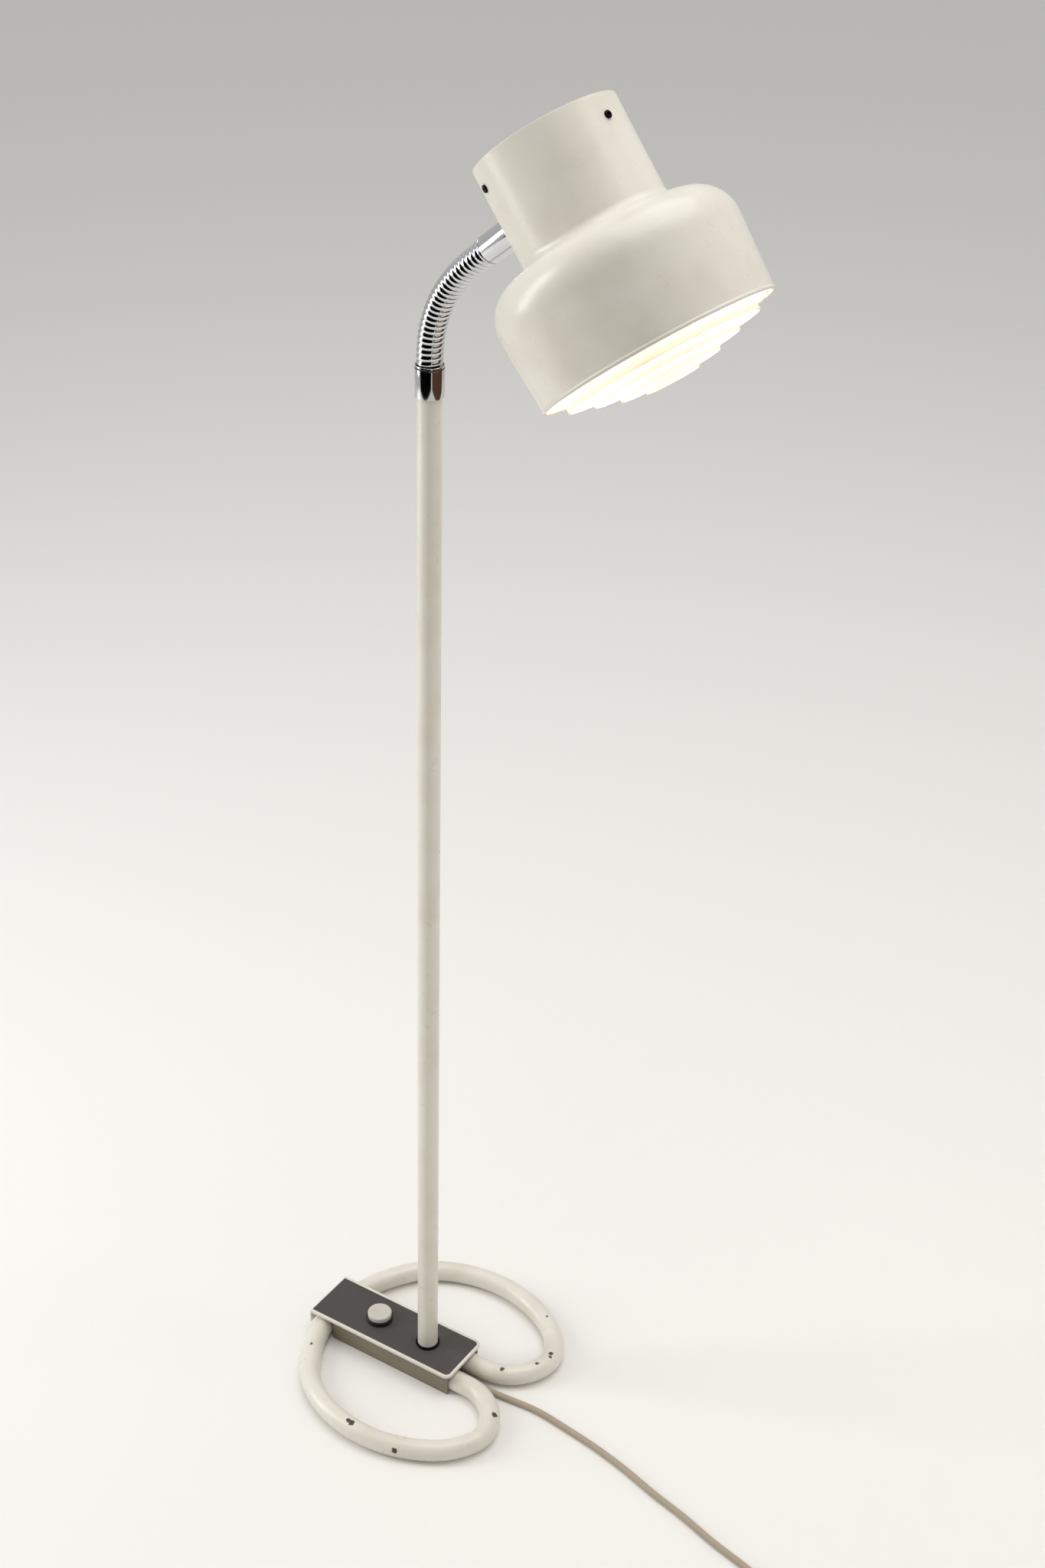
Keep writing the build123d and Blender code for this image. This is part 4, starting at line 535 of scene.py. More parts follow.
def placed(bm, place):
    """Set a whole shape in its place."""
    bmesh.ops.transform(bm, matrix=place, space=Matrix(), verts=bm.verts)
    return bm


def rounded(bm, geom, offset, segments=3, affect="EDGES"):
    """Bevel edges or corners by a width in metres."""
    how = {"offset_type": "OFFSET", "profile": 0.5, "material": -1}
    bmesh.ops.bevel(bm, geom=geom, offset=offset, segments=segments, affect=affect, **how)


def spun(bm, geom, steps, angle=FULL_TURN, centre=(0, 0, 0), axis=(0, 0, 1)):
    """Spin geometry about an axis; a full turn closes on itself. Returns the last step's geometry."""
    how = {"dvec": (0, 0, 0), "use_merge": angle == FULL_TURN, "use_duplicate": False}
    return bmesh.ops.spin(bm, geom=geom, cent=centre, axis=axis, angle=angle, steps=steps, **how)["geom_last"]


def of_kind(geom, kind):
    """The vertices, edges or faces among an operator's results."""
    return [g for g in geom if isinstance(g, kind)]


def drawn_out(bm, faces, way, keep=False):
    """Extrude faces by a way in metres; the faces left behind stay only where they close the shape."""
    grown = bmesh.ops.extrude_face_region(bm, geom=faces)["geom"]
    if not keep:
        bmesh.ops.delete(bm, geom=[f for f in faces if f.is_valid], context="FACES_ONLY")
    bmesh.ops.translate(bm, vec=way, verts=of_kind(grown, bmesh.types.BMVert))
    return of_kind(grown, bmesh.types.BMFace)


def circle(bm, segments, radius, place):
    """A circle of edges to sweep or spin."""
    made = bmesh.ops.create_circle(bm, cap_ends=False, segments=segments, radius=radius, matrix=place)
    return list(dict.fromkeys(e for v in made["verts"] for e in v.link_edges))


def swept(bm, ring, places):
    """Carry a ring of edges from place to place, faces behind it; returns the last ring."""
    for before, after in zip(places, places[1:]):
        grown = bmesh.ops.extrude_edge_only(bm, edges=ring)["geom"]
        verts = of_kind(grown, bmesh.types.BMVert)
        new = set(verts)
        ring = [e for e in of_kind(grown, bmesh.types.BMEdge) if set(e.verts) <= new]
        bmesh.ops.transform(bm, matrix=after @ before.inverted(), space=Matrix(), verts=verts)
    return ring


def section_edges(bm, section, arcs):
    """Draw a closed section of (radius, height, rounding) corners in the x-z plane; only its edges stay."""
    corners = [bm.verts.new((r * MM, 0, z * MM)) for r, z, _ in section]
    bm.faces.new(corners)
    for i, (vert, (r, z, rounding)) in enumerate(zip(corners, section)):
        if rounding:
            here = Vector((r, z))
            before = Vector(section[i - 1][:2]) - here
            after = Vector(section[(i + 1) % len(section)][:2]) - here
            rounded(bm, [vert], rounding * MM / tan(before.angle(after) / 2), arcs, "VERTICES")
    bmesh.ops.delete(bm, geom=bm.faces[:], context="FACES_ONLY")
    on_axis = [e for e in bm.edges if all(abs(v.co.x) < NEAR for v in e.verts)]
    bmesh.ops.delete(bm, geom=on_axis, context="EDGES")


def turned(section, steps, arcs, place=Matrix()):
    """A body of revolution about z from a closed section, set in its place."""
    bm = bmesh.new()
    section_edges(bm, section, arcs)
    spun(bm, bm.verts[:] + bm.edges[:], steps)
    return placed(tidy(bm), place)


def joined(*parts):
    """Several shapes as one mesh."""
    whole = bmesh.new()
    for part in parts:
        copy = bpy.data.meshes.new("part")
        part.to_mesh(copy)
        part.free()
        whole.from_mesh(copy)
        bpy.data.meshes.remove(copy)
    return whole


def polar(azimuth, reach, up):
    """A point at an azimuth in degrees, a distance from the post and a height."""
    return Vector((reach * cos(radians(azimuth)), reach * sin(radians(azimuth)), up))


def facing(along, x_dir, origin):
    """A place whose z axis points along a way, with its x axis as given."""
    z = Vector(along).normalized()
    x = Vector(x_dir).normalized()
    place = Matrix((x, z.cross(x), z)).transposed().to_4x4()
    place.translation = Vector(origin)
    return place


def leaned(base, distance, angle=0.0):
    """A place further along another's z axis, leaned forward about its own y axis."""
    return base @ Matrix.Translation((0, 0, distance)) @ Matrix.Rotation(angle, 4, "Y")


def neck_places(sizes):
    """The places at the foot of each two-turn stretch, the flexible neck's end, and the shade's own place."""
    length = 2 * sizes.turn_pitch
    places = [Matrix.Translation((0, 0, NECK_FOOT)) @ Matrix.Rotation(radians(HEAD_TURN), 4, "Z")]
    for lean in NECK_LEANS:
        places.append(leaned(places[-1], length, radians(lean)))
    end = leaned(places[-1], length)
    wall = leaned(end, NECK_TO_SHADE, radians(-90.0))
    return places, end, wall @ Matrix.Translation((sizes.collar_r, 0, -SHADE_ENTRY))


def bent(place, pitch, turns, lean):
    """The place some turns up from another, where two turns bend evenly by an angle."""
    if not lean:
        return leaned(place, pitch * turns)
    radius = pitch / tan(lean / 2)
    a = lean * turns / 2
    ahead = Vector((radius * (1 - cos(a)), 0, radius * sin(a)))
    return place @ Matrix.Translation(ahead) @ Matrix.Rotation(a, 4, "Y")


def coil_point(t, stretch=1.0):
    """A point of the coil's middle line after t turns, in mm, its radius stretched by a share."""
    half = COIL_TURNS / 2
    angle = radians(COIL_START) - FULL_TURN * t
    r = (COIL_R - COIL_PITCH * (t if t < half else COIL_TURNS - t)) * stretch
    climb = min(max((t - (half - COIL_CLIMB / 2)) / COIL_CLIMB, 0.0), 1.0)
    z = COIL_LOW_Z + COIL_PITCH * (1 - cos(pi * climb)) / 2
    return COIL_CENTRE + Vector((r * cos(angle), r * sin(angle), z))


def coil_ends():
    """Where the coil begins and ends, and the way that the cord runs there."""
    ends = []
    for t, rate in ((0.0, -COIL_PITCH), (COIL_TURNS, COIL_PITCH)):
        angle = radians(COIL_START) - FULL_TURN * t
        x = rate * cos(angle) + FULL_TURN * COIL_R * sin(angle)
        y = rate * sin(angle) - FULL_TURN * COIL_R * cos(angle)
        ends.append((coil_point(t), Vector((x, y, 0)).normalized()))
    return ends


def plug_place():
    """Where the plug's strain relief begins: x axis up, z axis the way the plug points."""
    out, way = coil_ends()[1]
    return facing(way, (0, 0, 1), (out + way * PLUG_LEAD) * MM)


# ---- operators ---------------------------------------------------------------------------------
class LAMP_OT_stage(bpy.types.Operator):
    """Camera, pale floor, soft lights and the finishes"""

    bl_idname = "lamp.stage"
    bl_label = "Stage"

    def execute(self, context):
        scene = context.scene
        make_finishes(scene.lamp_colours)
        scene.view_settings.view_transform = "Standard"
        self.camera(scene)
        self.flat_piece(scene, "floor", FLOOR_W, FLOOR_W, Matrix(), "#EDEBE7", {"Roughness": 0.75})

        world = bpy.data.worlds.new("soft_room")
        world.use_nodes = True
        tree = world.node_tree
        tree.nodes.clear()
        light = add_node(tree, "Background", {"Color": linear("#FFFFFF"), "Strength": ROOM_LIGHT})
        add_node(tree, "OutputWorld", {"Surface": light})
        scene.world = world

        for name, azimuth, reach, up, wide, high, power, code in LAMPS:
            light = bpy.data.lights.new(name, "AREA")
            light.shape = "RECTANGLE"
            light.size = wide
            light.size_y = high
            light.energy = power
            light.color = linear(code)[:3]
            lamp = bpy.data.objects.new(name, light)
            spot = polar(azimuth, reach, up)
            aim = (LAMPS_AIM - spot).to_track_quat("-Z", "Y").to_matrix().to_4x4()
            lamp.matrix_world = Matrix.Translation(spot) @ aim
            scene.collection.objects.link(lamp)

        for name, azimuth, code in CARDS:
            spot = polar(azimuth, CARD_REACH, CARD_UP)
            place = Matrix.Translation(spot) @ (CARDS_AIM - spot).to_track_quat("Z", "Y").to_matrix().to_4x4()
            matt = {"Roughness": 1.0, "Specular IOR Level": 0.0}
            card = self.flat_piece(scene, name, CARD_W, CARD_H, place, code, matt)
            card.visible_camera = False
            card.visible_diffuse = False
            card.visible_transmission = False
            card.visible_shadow = False
        return {"FINISHED"}

    def camera(self, scene):
        """The photograph's camera."""
        ahead = Vector(
            (cos(CAMERA_TURN) * cos(CAMERA_DIP), sin(CAMERA_TURN) * cos(CAMERA_DIP), -sin(CAMERA_DIP))
        )
        right = Vector((sin(CAMERA_TURN), -cos(CAMERA_TURN), 0))
        down = ahead.cross(right)
        across = right * cos(CAMERA_ROLL) + down * sin(CAMERA_ROLL)
        below = down * cos(CAMERA_ROLL) - right * sin(CAMERA_ROLL)
        lens = bpy.data.cameras.new("camera")
        lens.lens = CAMERA_LENS
        lens.sensor_width = CAMERA_SENSOR
        lens.clip_end = CAMERA_REACH
        camera = bpy.data.objects.new("camera", lens)
        place = Matrix((across, -below, -ahead)).transposed().to_4x4()
        place.translation = CAMERA_AT
        camera.matrix_world = place
        scene.collection.objects.link(camera)
        scene.camera = camera

    def flat_piece(self, scene, name, wide, high, place, code, sockets):
        """A flat painted piece of the studio, which isn't part of the lamp."""
        bm = bmesh.new()
        bmesh.ops.create_grid(bm, x_segments=1, y_segments=1, size=0.5)
        placed(bm, place @ Matrix.Diagonal((wide, high, 1.0, 1.0)))
        mesh = bpy.data.meshes.new(name)
        bm.to_mesh(mesh)
        bm.free()
        material, tree, _ = new_material(f"painted_{name}")
        shader = add_node(tree, "BsdfPrincipled", {"Base Color": linear(code), **sockets})
        add_node(tree, "OutputMaterial", {"Surface": shader})
        mesh.materials.append(material)
        piece = bpy.data.objects.new(name, mesh)
        scene.collection.objects.link(piece)
        return piece


class LAMP_OT_cord(bpy.types.Operator):
    """Mains cord with its tie and plug"""

    bl_idname = "lamp.cord"
    bl_label = "Mains Cord"

    def execute(self, context):
        sizes = context.scene.lamp_sizes
        plug = self.plug(context)
        prongs = self.prongs(context)
        tie = self.tie(context)
        (start, way_in), (end, way_out) = coil_ends()
        entry = start - way_in * COIL_TOUCH
        points = [Vector(p) for p in CORD_ROUTE]
        points += [entry - way_in * COIL_LEAD, entry - way_in * COIL_NEAR, entry, start]
        # the control points lie a little outside the line, so that the curve lies on it
        count = round(COIL_TURNS * COIL_POINTS)
        outside = 1 / cos(pi / COIL_POINTS)
        points += [coil_point(COIL_TURNS * (i + 0.5) / count, outside) for i in range(count)]
        points += [end, end + way_out * PLUG_LEAD]
        cord = wire_piece(context, "mains_cord", [points], sizes.cord_d, "stand", ("cord_free", "cord_coil"))
        return {"FINISHED"}

    def plug(self, context):
        """Moulded plug: ribbed strain relief, then a flat body that widens to the pins."""
        ribs = [(0.0, 0.0, 0), (RELIEF_R, 0.0, 0.4)]
        for k in range(RIBS):
            low = RIB_START + RIB_PITCH * k
            r = RELIEF_R + RELIEF_WIDENS * low / RELIEF_L
            ribs += [(r, low, 0.3), (r - 0.55, low + 0.7, 0.2), (r - 0.5, low + 1.4, 0.2)]
            ribs += [(r + 0.1, low + 2.1, 0.3)]
        ribs += [(RELIEF_R + RELIEF_WIDENS, RELIEF_L - 0.1, 0), (0.0, RELIEF_L - 0.1, 0)]
        relief = turned(ribs, 48, 2, plug_place())
        body = bmesh.new()
        bmesh.ops.create_grid(body, x_segments=1, y_segments=1, size=0.5)
        bmesh.ops.scale(body, vec=(0.0120, 0.0150, 1.0), verts=body.verts)
        rounded(body, body.verts[:], 0.004, 5, "VERTICES")
        face = body.faces[:]
        # drawn in behind the grip, then out to the front; the first face stays and closes the back
        for number, (rise, sx, sy) in enumerate(PLUG_STEPS):
            face = drawn_out(body, face, (0, 0, rise * MM), keep=number == 0)
            verts = face[0].verts[:]
            middle = sum((v.co for v in verts), Vector()) / len(verts)
            bmesh.ops.scale(body, vec=(sx, sy, 1.0), space=Matrix.Translation(-middle), verts=verts)
        rounded(body, face[0].edges[:], 0.0008)
        placed(tidy(body), leaned(plug_place(), RELIEF_L * MM))
        bm = joined(relief, body)
        return finished(context, "plug_moulding", bm, "stand", ("plug",), "plug_body")

    def prongs(self, context):
        """Two pins with dark insulating sleeves and rounded bare tips."""
        section = ((0, -10, 0), (1.9, -10, 0), (1.9, 10.0, 0.1))
        section += ((2.0, 10.05, 0.05), (2.0, 19.0, 0.9), (0, 19.0, 0))
        parts = []
        for side in (-PIN_SIDE, PIN_SIDE):
            pin = turned(section, 32, 4)
            for face in pin.faces:
                face.material_index = int(face.calc_center_median().z < PIN_SLEEVE_L)
            parts.append(placed(pin, plug_place() @ Matrix.Translation((0, side * MM, PIN_ROOT))))
        bm = joined(*parts)
        return finished(context, "plug_prongs", bm, "stand", ("brass", "phenolic"), "plug_pins")

    def tie(self, context):
        """Flat band round the coil's turns."""
        angle = radians(COIL_START - 90.0)
        inner = COIL_R - COIL_PITCH * COIL_TURNS / 2 - TIE_ROOM - TIE_THICK
        outer = COIL_R - COIL_PITCH / 4 + TIE_ROOM + TIE_THICK
        low = COIL_LOW_Z - TIE_ROOM - TIE_THICK
        high = COIL_LOW_Z + COIL_PITCH + TIE_ROOM + TIE_THICK
        out = Vector((cos(angle), sin(angle), 0))
        place = facing((sin(angle), -cos(angle), 0), out, COIL_CENTRE * MM)
        bm = bmesh.new()
        # in this place x points outwards, and y points up or down
        up = 1.0 if (place.to_3x3() @ Vector((0, 1, 0))).z > 0 else -1.0
        corners = ((inner, low), (outer, low), (outer, high), (inner, high))
        bm.faces.new([bm.verts.new((x * MM, up * y * MM, -TIE_W / 2)) for x, y in corners])
        rounded(bm, bm.verts[:], 0.003, 6, "VERTICES")
        bmesh.ops.inset_individual(bm, faces=bm.faces[:], thickness=TIE_THICK * MM, use_even_offset=True)
        hole = max(bm.faces, key=lambda f: len(f.verts))
        bmesh.ops.delete(bm, geom=[hole], context="FACES")
        bmesh.ops.solidify(bm, geom=bm.faces[:], thickness=TIE_W)
        tidy(bm)
        middle = sum(v.co.z for v in bm.verts) / len(bm.verts)
        bmesh.ops.translate(bm, vec=(0, 0, -middle), verts=bm.verts)
        rounded(bm, [e for e in bm.edges if e.calc_face_angle(0.0) > radians(60)], 0.0002, 2)
        placed(bm, place)
        return finished(context, "coil_tie", tidy(bm), "stand", ("plug",), "cord_tie")


class LAMP_OT_bar(bpy.types.Operator):
    """Base bar, bent into two floor loops"""

    bl_idname = "lamp.bar"
    bl_label = "Base Bar"

    def execute(self, context):
        r = context.scene.lamp_sizes.bar_d / 2
        bm = bmesh.new()
        rear = Matrix.Translation((BAR_REAR_X * MM, 0, r)) @ Matrix.Rotation(radians(-90), 4, "X")
        ring = circle(bm, BAR_SIDES, r, rear)
        x, y, heading = BAR_REAR_X, 0.0, 0.0
        bends = list(BAR_BENDS)
        while bends or heading < radians(BAR_TURNED - 1):
            if not bends:
                # the last bend brings the bar into its lane in the housing
                bends.append(((y - BAR_LANE) / (1 + sin(heading)), BAR_TURNED - heading * 180 / pi))
            length, angle = bends.pop(0)
            if angle:
                a = radians(angle)
                centre = Vector((x + length * cos(heading), y - length * sin(heading), 0)) * MM
                geom = ring + list({v for e in ring for v in e.verts})
                last = spun(bm, geom, max(6, round(angle / BAR_STEP)), a, centre, (0, 0, -1))
                ring = of_kind(last, bmesh.types.BMEdge)
                x += length * (cos(heading) - cos(heading + a))
                y += length * (sin(heading + a) - sin(heading))
                heading += a
            else:
                way = Vector((length * sin(heading), length * cos(heading), 0))
                ring = swept(bm, ring, (Matrix(), Matrix.Translation(way * MM)))
                x += way.x
                y += way.y
        ring = swept(bm, ring, (Matrix(), Matrix.Translation(((BAR_END_X - x) * MM, 0, 0))))
        bmesh.ops.holes_fill(bm, edges=ring, sides=0)
        rounded(bm, ring, 0.001)
        half = bm.verts[:] + bm.edges[:] + bm.faces[:]
        bmesh.ops.mirror(bm, geom=half, matrix=Matrix(), merge_dist=NEAR, axis="Y")
        finished(context, "base_loops", tidy(bm), "stand", ("bar",), "base_bar")
        return {"FINISHED"}


class LAMP_OT_cover(bpy.types.Operator):
    """Cover plate with its folded rear edge, and the dark inlay in it"""

    bl_idname = "lamp.cover"
    bl_label = "Base Cover"

    def execute(self, context):
        sizes = context.scene.lamp_sizes
        self.plate(context, sizes.cover_w / 2, sizes.panel_margin, sizes.cover_corner)
        self.inlay(context, sizes.cover_w / 2, sizes.panel_margin)
        return {"FINISHED"}

    def sheet(self, x0, x1, half, z):
        """A flat rectangle to draw out."""
        bm = bmesh.new()
        outline = ((x0, -half), (x1, -half), (x1, half), (x0, half))
        bm.faces.new([bm.verts.new((x, y, z)) for x, y in outline])
        return bm

    def plate(self, context, half, margin, corner):
        """The plate with a sunk field for the inlay and its rear end folded down."""
        bm = self.sheet(COVER_REAR, COVER_FRONT, half, COVER_LOW)
        rounded(bm, [v for v in bm.verts if v.co.x > 0], corner, 8, "VERTICES")
        drawn_out(bm, bm.faces[:], (0, 0, COVER_THICK), keep=True)
        bmesh.ops.recalc_face_normals(bm, faces=bm.faces)
        lid = [f for f in bm.faces if f.normal.z > 0.9]
        bmesh.ops.inset_individual(bm, faces=lid, thickness=margin, use_even_offset=True)
        fold_in = COVER_REAR + FOLD_THICK
        for vert in lid[0].verts:
            if vert.co.x < COVER_REAR + 2 * margin:
                vert.co.x = fold_in
        drawn_out(bm, lid, (0, 0, -INLAY_THICK))
        whole = bm.verts[:] + bm.edges[:] + bm.faces[:]
        spot = (fold_in + HAIR, 0, 0)
        bmesh.ops.bisect_plane(bm, geom=whole, dist=NEAR / 10, plane_co=spot, plane_no=(1, 0, 0))
        bm.normal_update()
        strip = []
        for face in bm.faces:
            mid = face.calc_center_median()
            if abs(face.normal.z) > 0.9 and abs(mid.z - COVER_LOW) < HAIR and mid.x < fold_in:
                strip.append(face)
        drawn_out(bm, strip, (0, 0, -FOLD_DROP))
        tidy(bm)
        # the fold's outer edge is round, every other edge is softened by the lacquer
        top = COVER_LOW + COVER_THICK - 10 * HAIR
        bend = [e for e in bm.edges if all(v.co.x < COVER_REAR + HAIR and v.co.z > top for v in e.verts)]
        rounded(bm, bend, FOLD_ROUND, 4)
        crisp = [e for e in bm.edges if e.is_manifold and e.calc_face_angle(0.0) > radians(50)]
        rounded(bm, crisp, 0.0003, 2)
        finished(context, "cover_plate", tidy(bm), "stand", ("lacquer",), "cover")

    def inlay(self, context, half, margin):
        """The dark panel, a hair smaller than its field."""
        x0 = COVER_REAR + FOLD_THICK + INLAY_GAP
        x1 = COVER_FRONT - margin - INLAY_GAP
        top = COVER_LOW + COVER_THICK
        bm = self.sheet(x0, x1, half - margin - INLAY_GAP, top - INLAY_THICK)
        for end, radius in ((x0, 0.0015), (x1, 0.004)):
            rounded(bm, [v for v in bm.verts if abs(v.co.x - end) < NEAR], radius, 6, "VERTICES")
        drawn_out(bm, bm.faces[:], (0, 0, INLAY_THICK), keep=True)
        tidy(bm)
        rounded(bm, [e for e in bm.edges if all(v.co.z > top - 10 * HAIR for v in e.verts)], 0.00025, 2)
        finished(context, "dark_inlay", tidy(bm), "stand", ("inlay",), "top_panel")


class LAMP_OT_switch(bpy.types.Operator):
    """Foot switch: dished button on its stem, collar and return spring"""

    bl_idname = "lamp.switch"
    bl_label = "Foot Switch"

    def execute(self, context):
        place = Matrix.Translation((SWITCH_X * MM, 0, 0))
        r = context.scene.lamp_sizes.button_r / MM
        section = ((0, 12.4, 0), (3.0, 12.4, 0.4), (3.0, 30.6, 0), (r, 30.6, 0.2), (r, 35.6, 1.4))
        section += ((r - 2.4, 35.55, 1.0), (r - 5.0, 35.2, 3.0), (0, 35.15, 0))
        button = turned(section, 72, 5, place)
        finished(context, "foot_button", button, "button", ("button",), "button_cap")
        # the collar's near-black stands partly for the button's shadow on the inlay
        section = ((6.02, 26.0, 0), (13.3, 26.0, 0.3), (13.3, 31.0, 0.5))
        section += ((12.3, 31.0, 0.3), (12.3, 27.4, 0.4), (6.02, 27.4, 0))
        collar = turned(section, 72, 3, place)
        finished(context, "button_collar", collar, "stand", ("collar",), "switch_bezel")

        bm = bmesh.new()
        steps = SPRING_TURNS * SPRING_STEPS
        places = []
        for i in range(steps + 1):
            up = (SPRING_LOW + (SPRING_HIGH - SPRING_LOW) * i / steps) * MM
            places.append(leaned(place, up) @ Matrix.Rotation(FULL_TURN * i / SPRING_STEPS, 4, "Z"))
        out = Matrix.Translation((SPRING_R * MM, 0, 0)) @ Matrix.Rotation(radians(90), 4, "X")
        swept(bm, circle(bm, 10, SPRING_WIRE_R * MM, places[0] @ out), places)
        spring = finished(context, "return_spring", capped(bm), None, ("zinc",), "button_spring")
        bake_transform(spring)
        return {"FINISHED"}


class LAMP_OT_post(bpy.types.Operator):
    """Post with its foot washer and the lower ferrule"""

    bl_idname = "lamp.post"
    bl_label = "Post"

    def execute(self, context):
        sizes = context.scene.lamp_sizes
        r, wall, top = sizes.post_r / MM, sizes.post_wall / MM, sizes.post_top / MM
        # the washer's black stands partly for painted shade round the post's foot
        section = ((5.1, 26.0, 0), (12.0, 26.0, 0.1), (12.0, 27.5, 0.7), (5.1, 27.5, 0))
        washer = turned(section, sizes.steps, 4)
        finished(context, "foot_ring", washer, "stand", ("black_steel",), "foot_washer")
        # two rings on the way up keep the tube's faces from growing too long
        section = ((r - wall, 27.5, 0), (r, 27.5, 0.8), (r, 400.0, 0), (r, 750.0, 0))
        section += ((r, top, 0.3), (r - wall, top, 0))
        tube = turned(section, sizes.steps, 4)
        finished(context, "post_tube", tube, "stand", ("lacquer",), "post")
        f = sizes.ferrule_r / MM
        section = ((10.05, 1021.7, 0), (f, 1021.7, 0.35), (f, 1045.2, 0.15), (f - 0.35, 1045.5, 0.1))
        section += ((f - 0.35, 1046.1, 0.1), (f, 1046.4, 0.15), (f, 1048.0, 0.5), (10.95, 1048.0, 0.2))
        section += ((10.95, 1043.0, 0), (7.25, 1043.0, 0), (7.25, 1034.3, 0), (10.05, 1034.3, 0))
        ferrule = turned(section, sizes.steps, 4)
        # its groove and its bore take the dark core finish: painted shade in the recesses
        for face in ferrule.faces:
            mid = face.calc_center_median()
            face.material_index = int(1.0453 < mid.z < 1.0463 or mid.xy.length < 0.0110)
        finished(context, "neck_socket", ferrule, "stand", ("chrome", "core"), "lower_ferrule")
        return {"FINISHED"}


class LAMP_OT_neck(bpy.types.Operator):
    """Flexible neck: a chromed crowned wire wound close over a core whose dark colour is painted shade
    between the turns
    """

    bl_idname = "lamp.neck"
    bl_label = "Flexible Neck"

    def execute(self, context):
        sizes = context.scene.lamp_sizes
        places, _, _ = neck_places(sizes)
        middles = [leaned(place, sizes.turn_pitch) for place in places]
        self.stretch(context, "neck_winding_foot", middles[0], -1.0, 0.0, 0.0, "stand", "goose_link_01")
        for k, lean in enumerate(NECK_LEANS):
            name, node = f"neck_winding_{k + 1:02d}", f"goose_link_{k + 2:02d}"
            piece = self.stretch(context, name, middles[k], 0.0, 2.0, radians(lean), None, node)
            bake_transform(piece)
        self.stretch(context, "neck_winding_head", middles[-1], 0.0, 1.0, 0.0, "head", "goose_link_13")
        return {"FINISHED"}

    def stretch(self, context, name, middle, first, last, lean, body, node):
        """The winding and its core from one count of turns past a place to another, bent evenly."""
        sizes = context.scene.lamp_sizes
        pitch, crown_r = sizes.turn_pitch, sizes.neck_r
        steps = round((last - first) * WIRE_STEPS)
        counts = [first + (last - first) * i / steps for i in range(steps + 1)]
        spots = [bent(middle, pitch, count, lean) for count in counts]
        winds = [spot @ Matrix.Rotation(FULL_TURN * count, 4, "Z") for spot, count in zip(spots, counts)]
        bm = bmesh.new()
        self.crowned_strip(bm, crown_r, WIRE_HALF_W * pitch, winds[0])
        swept(bm, bm.edges[:], winds)
        # a thin round wire lies in the groove between the turns
        groove = Matrix.Translation((crown_r - GROOVE_WIRE_IN, 0, pitch / 2))
        upright = Matrix.Rotation(radians(90), 4, "X")
        swept(bm, circle(bm, 8, GROOVE_WIRE_R, winds[0] @ groove @ upright), winds)
        capped(bm)
        core = bmesh.new()
        swept(core, circle(core, 40, crown_r - CORE_IN, spots[0]), spots[::CORE_STRIDE])
        capped(core)
        # the core's dark finish is painted shade in the grooves between the turns
        for face in core.faces:
            face.material_index = 1
        whole = joined(bm, core)
        return finished(context, name, whole, body, ("chrome", "core"), node, sharp=50.0)

    def crowned_strip(self, bm, crown_r, half_w, place):
        """The wire's section: a crown outside, flat sides and a flat inner face."""
        edge_r = crown_r - WIRE_RISE
        bend_r = (half_w**2 + WIRE_RISE**2) / (2 * WIRE_RISE)
        swing = asin(half_w / bend_r)
        first = bm.verts.new((edge_r, 0, -half_w))
        spun(bm, [first], 8, 2 * swing, (crown_r - bend_r, 0, 0), (0, -1, 0))
        inner = [bm.verts.new((crown_r - WIRE_DEEP, 0, z)) for z in (half_w, -half_w)]
        ends = sorted((v for v in bm.verts if abs(v.co.x - edge_r) < NEAR), key=lambda v: v.co.z)
        for a, b in ((ends[-1], inner[0]), (inner[0], inner[1]), (inner[1], ends[0])):
            bm.edges.new((a, b))
        placed(bm, place)


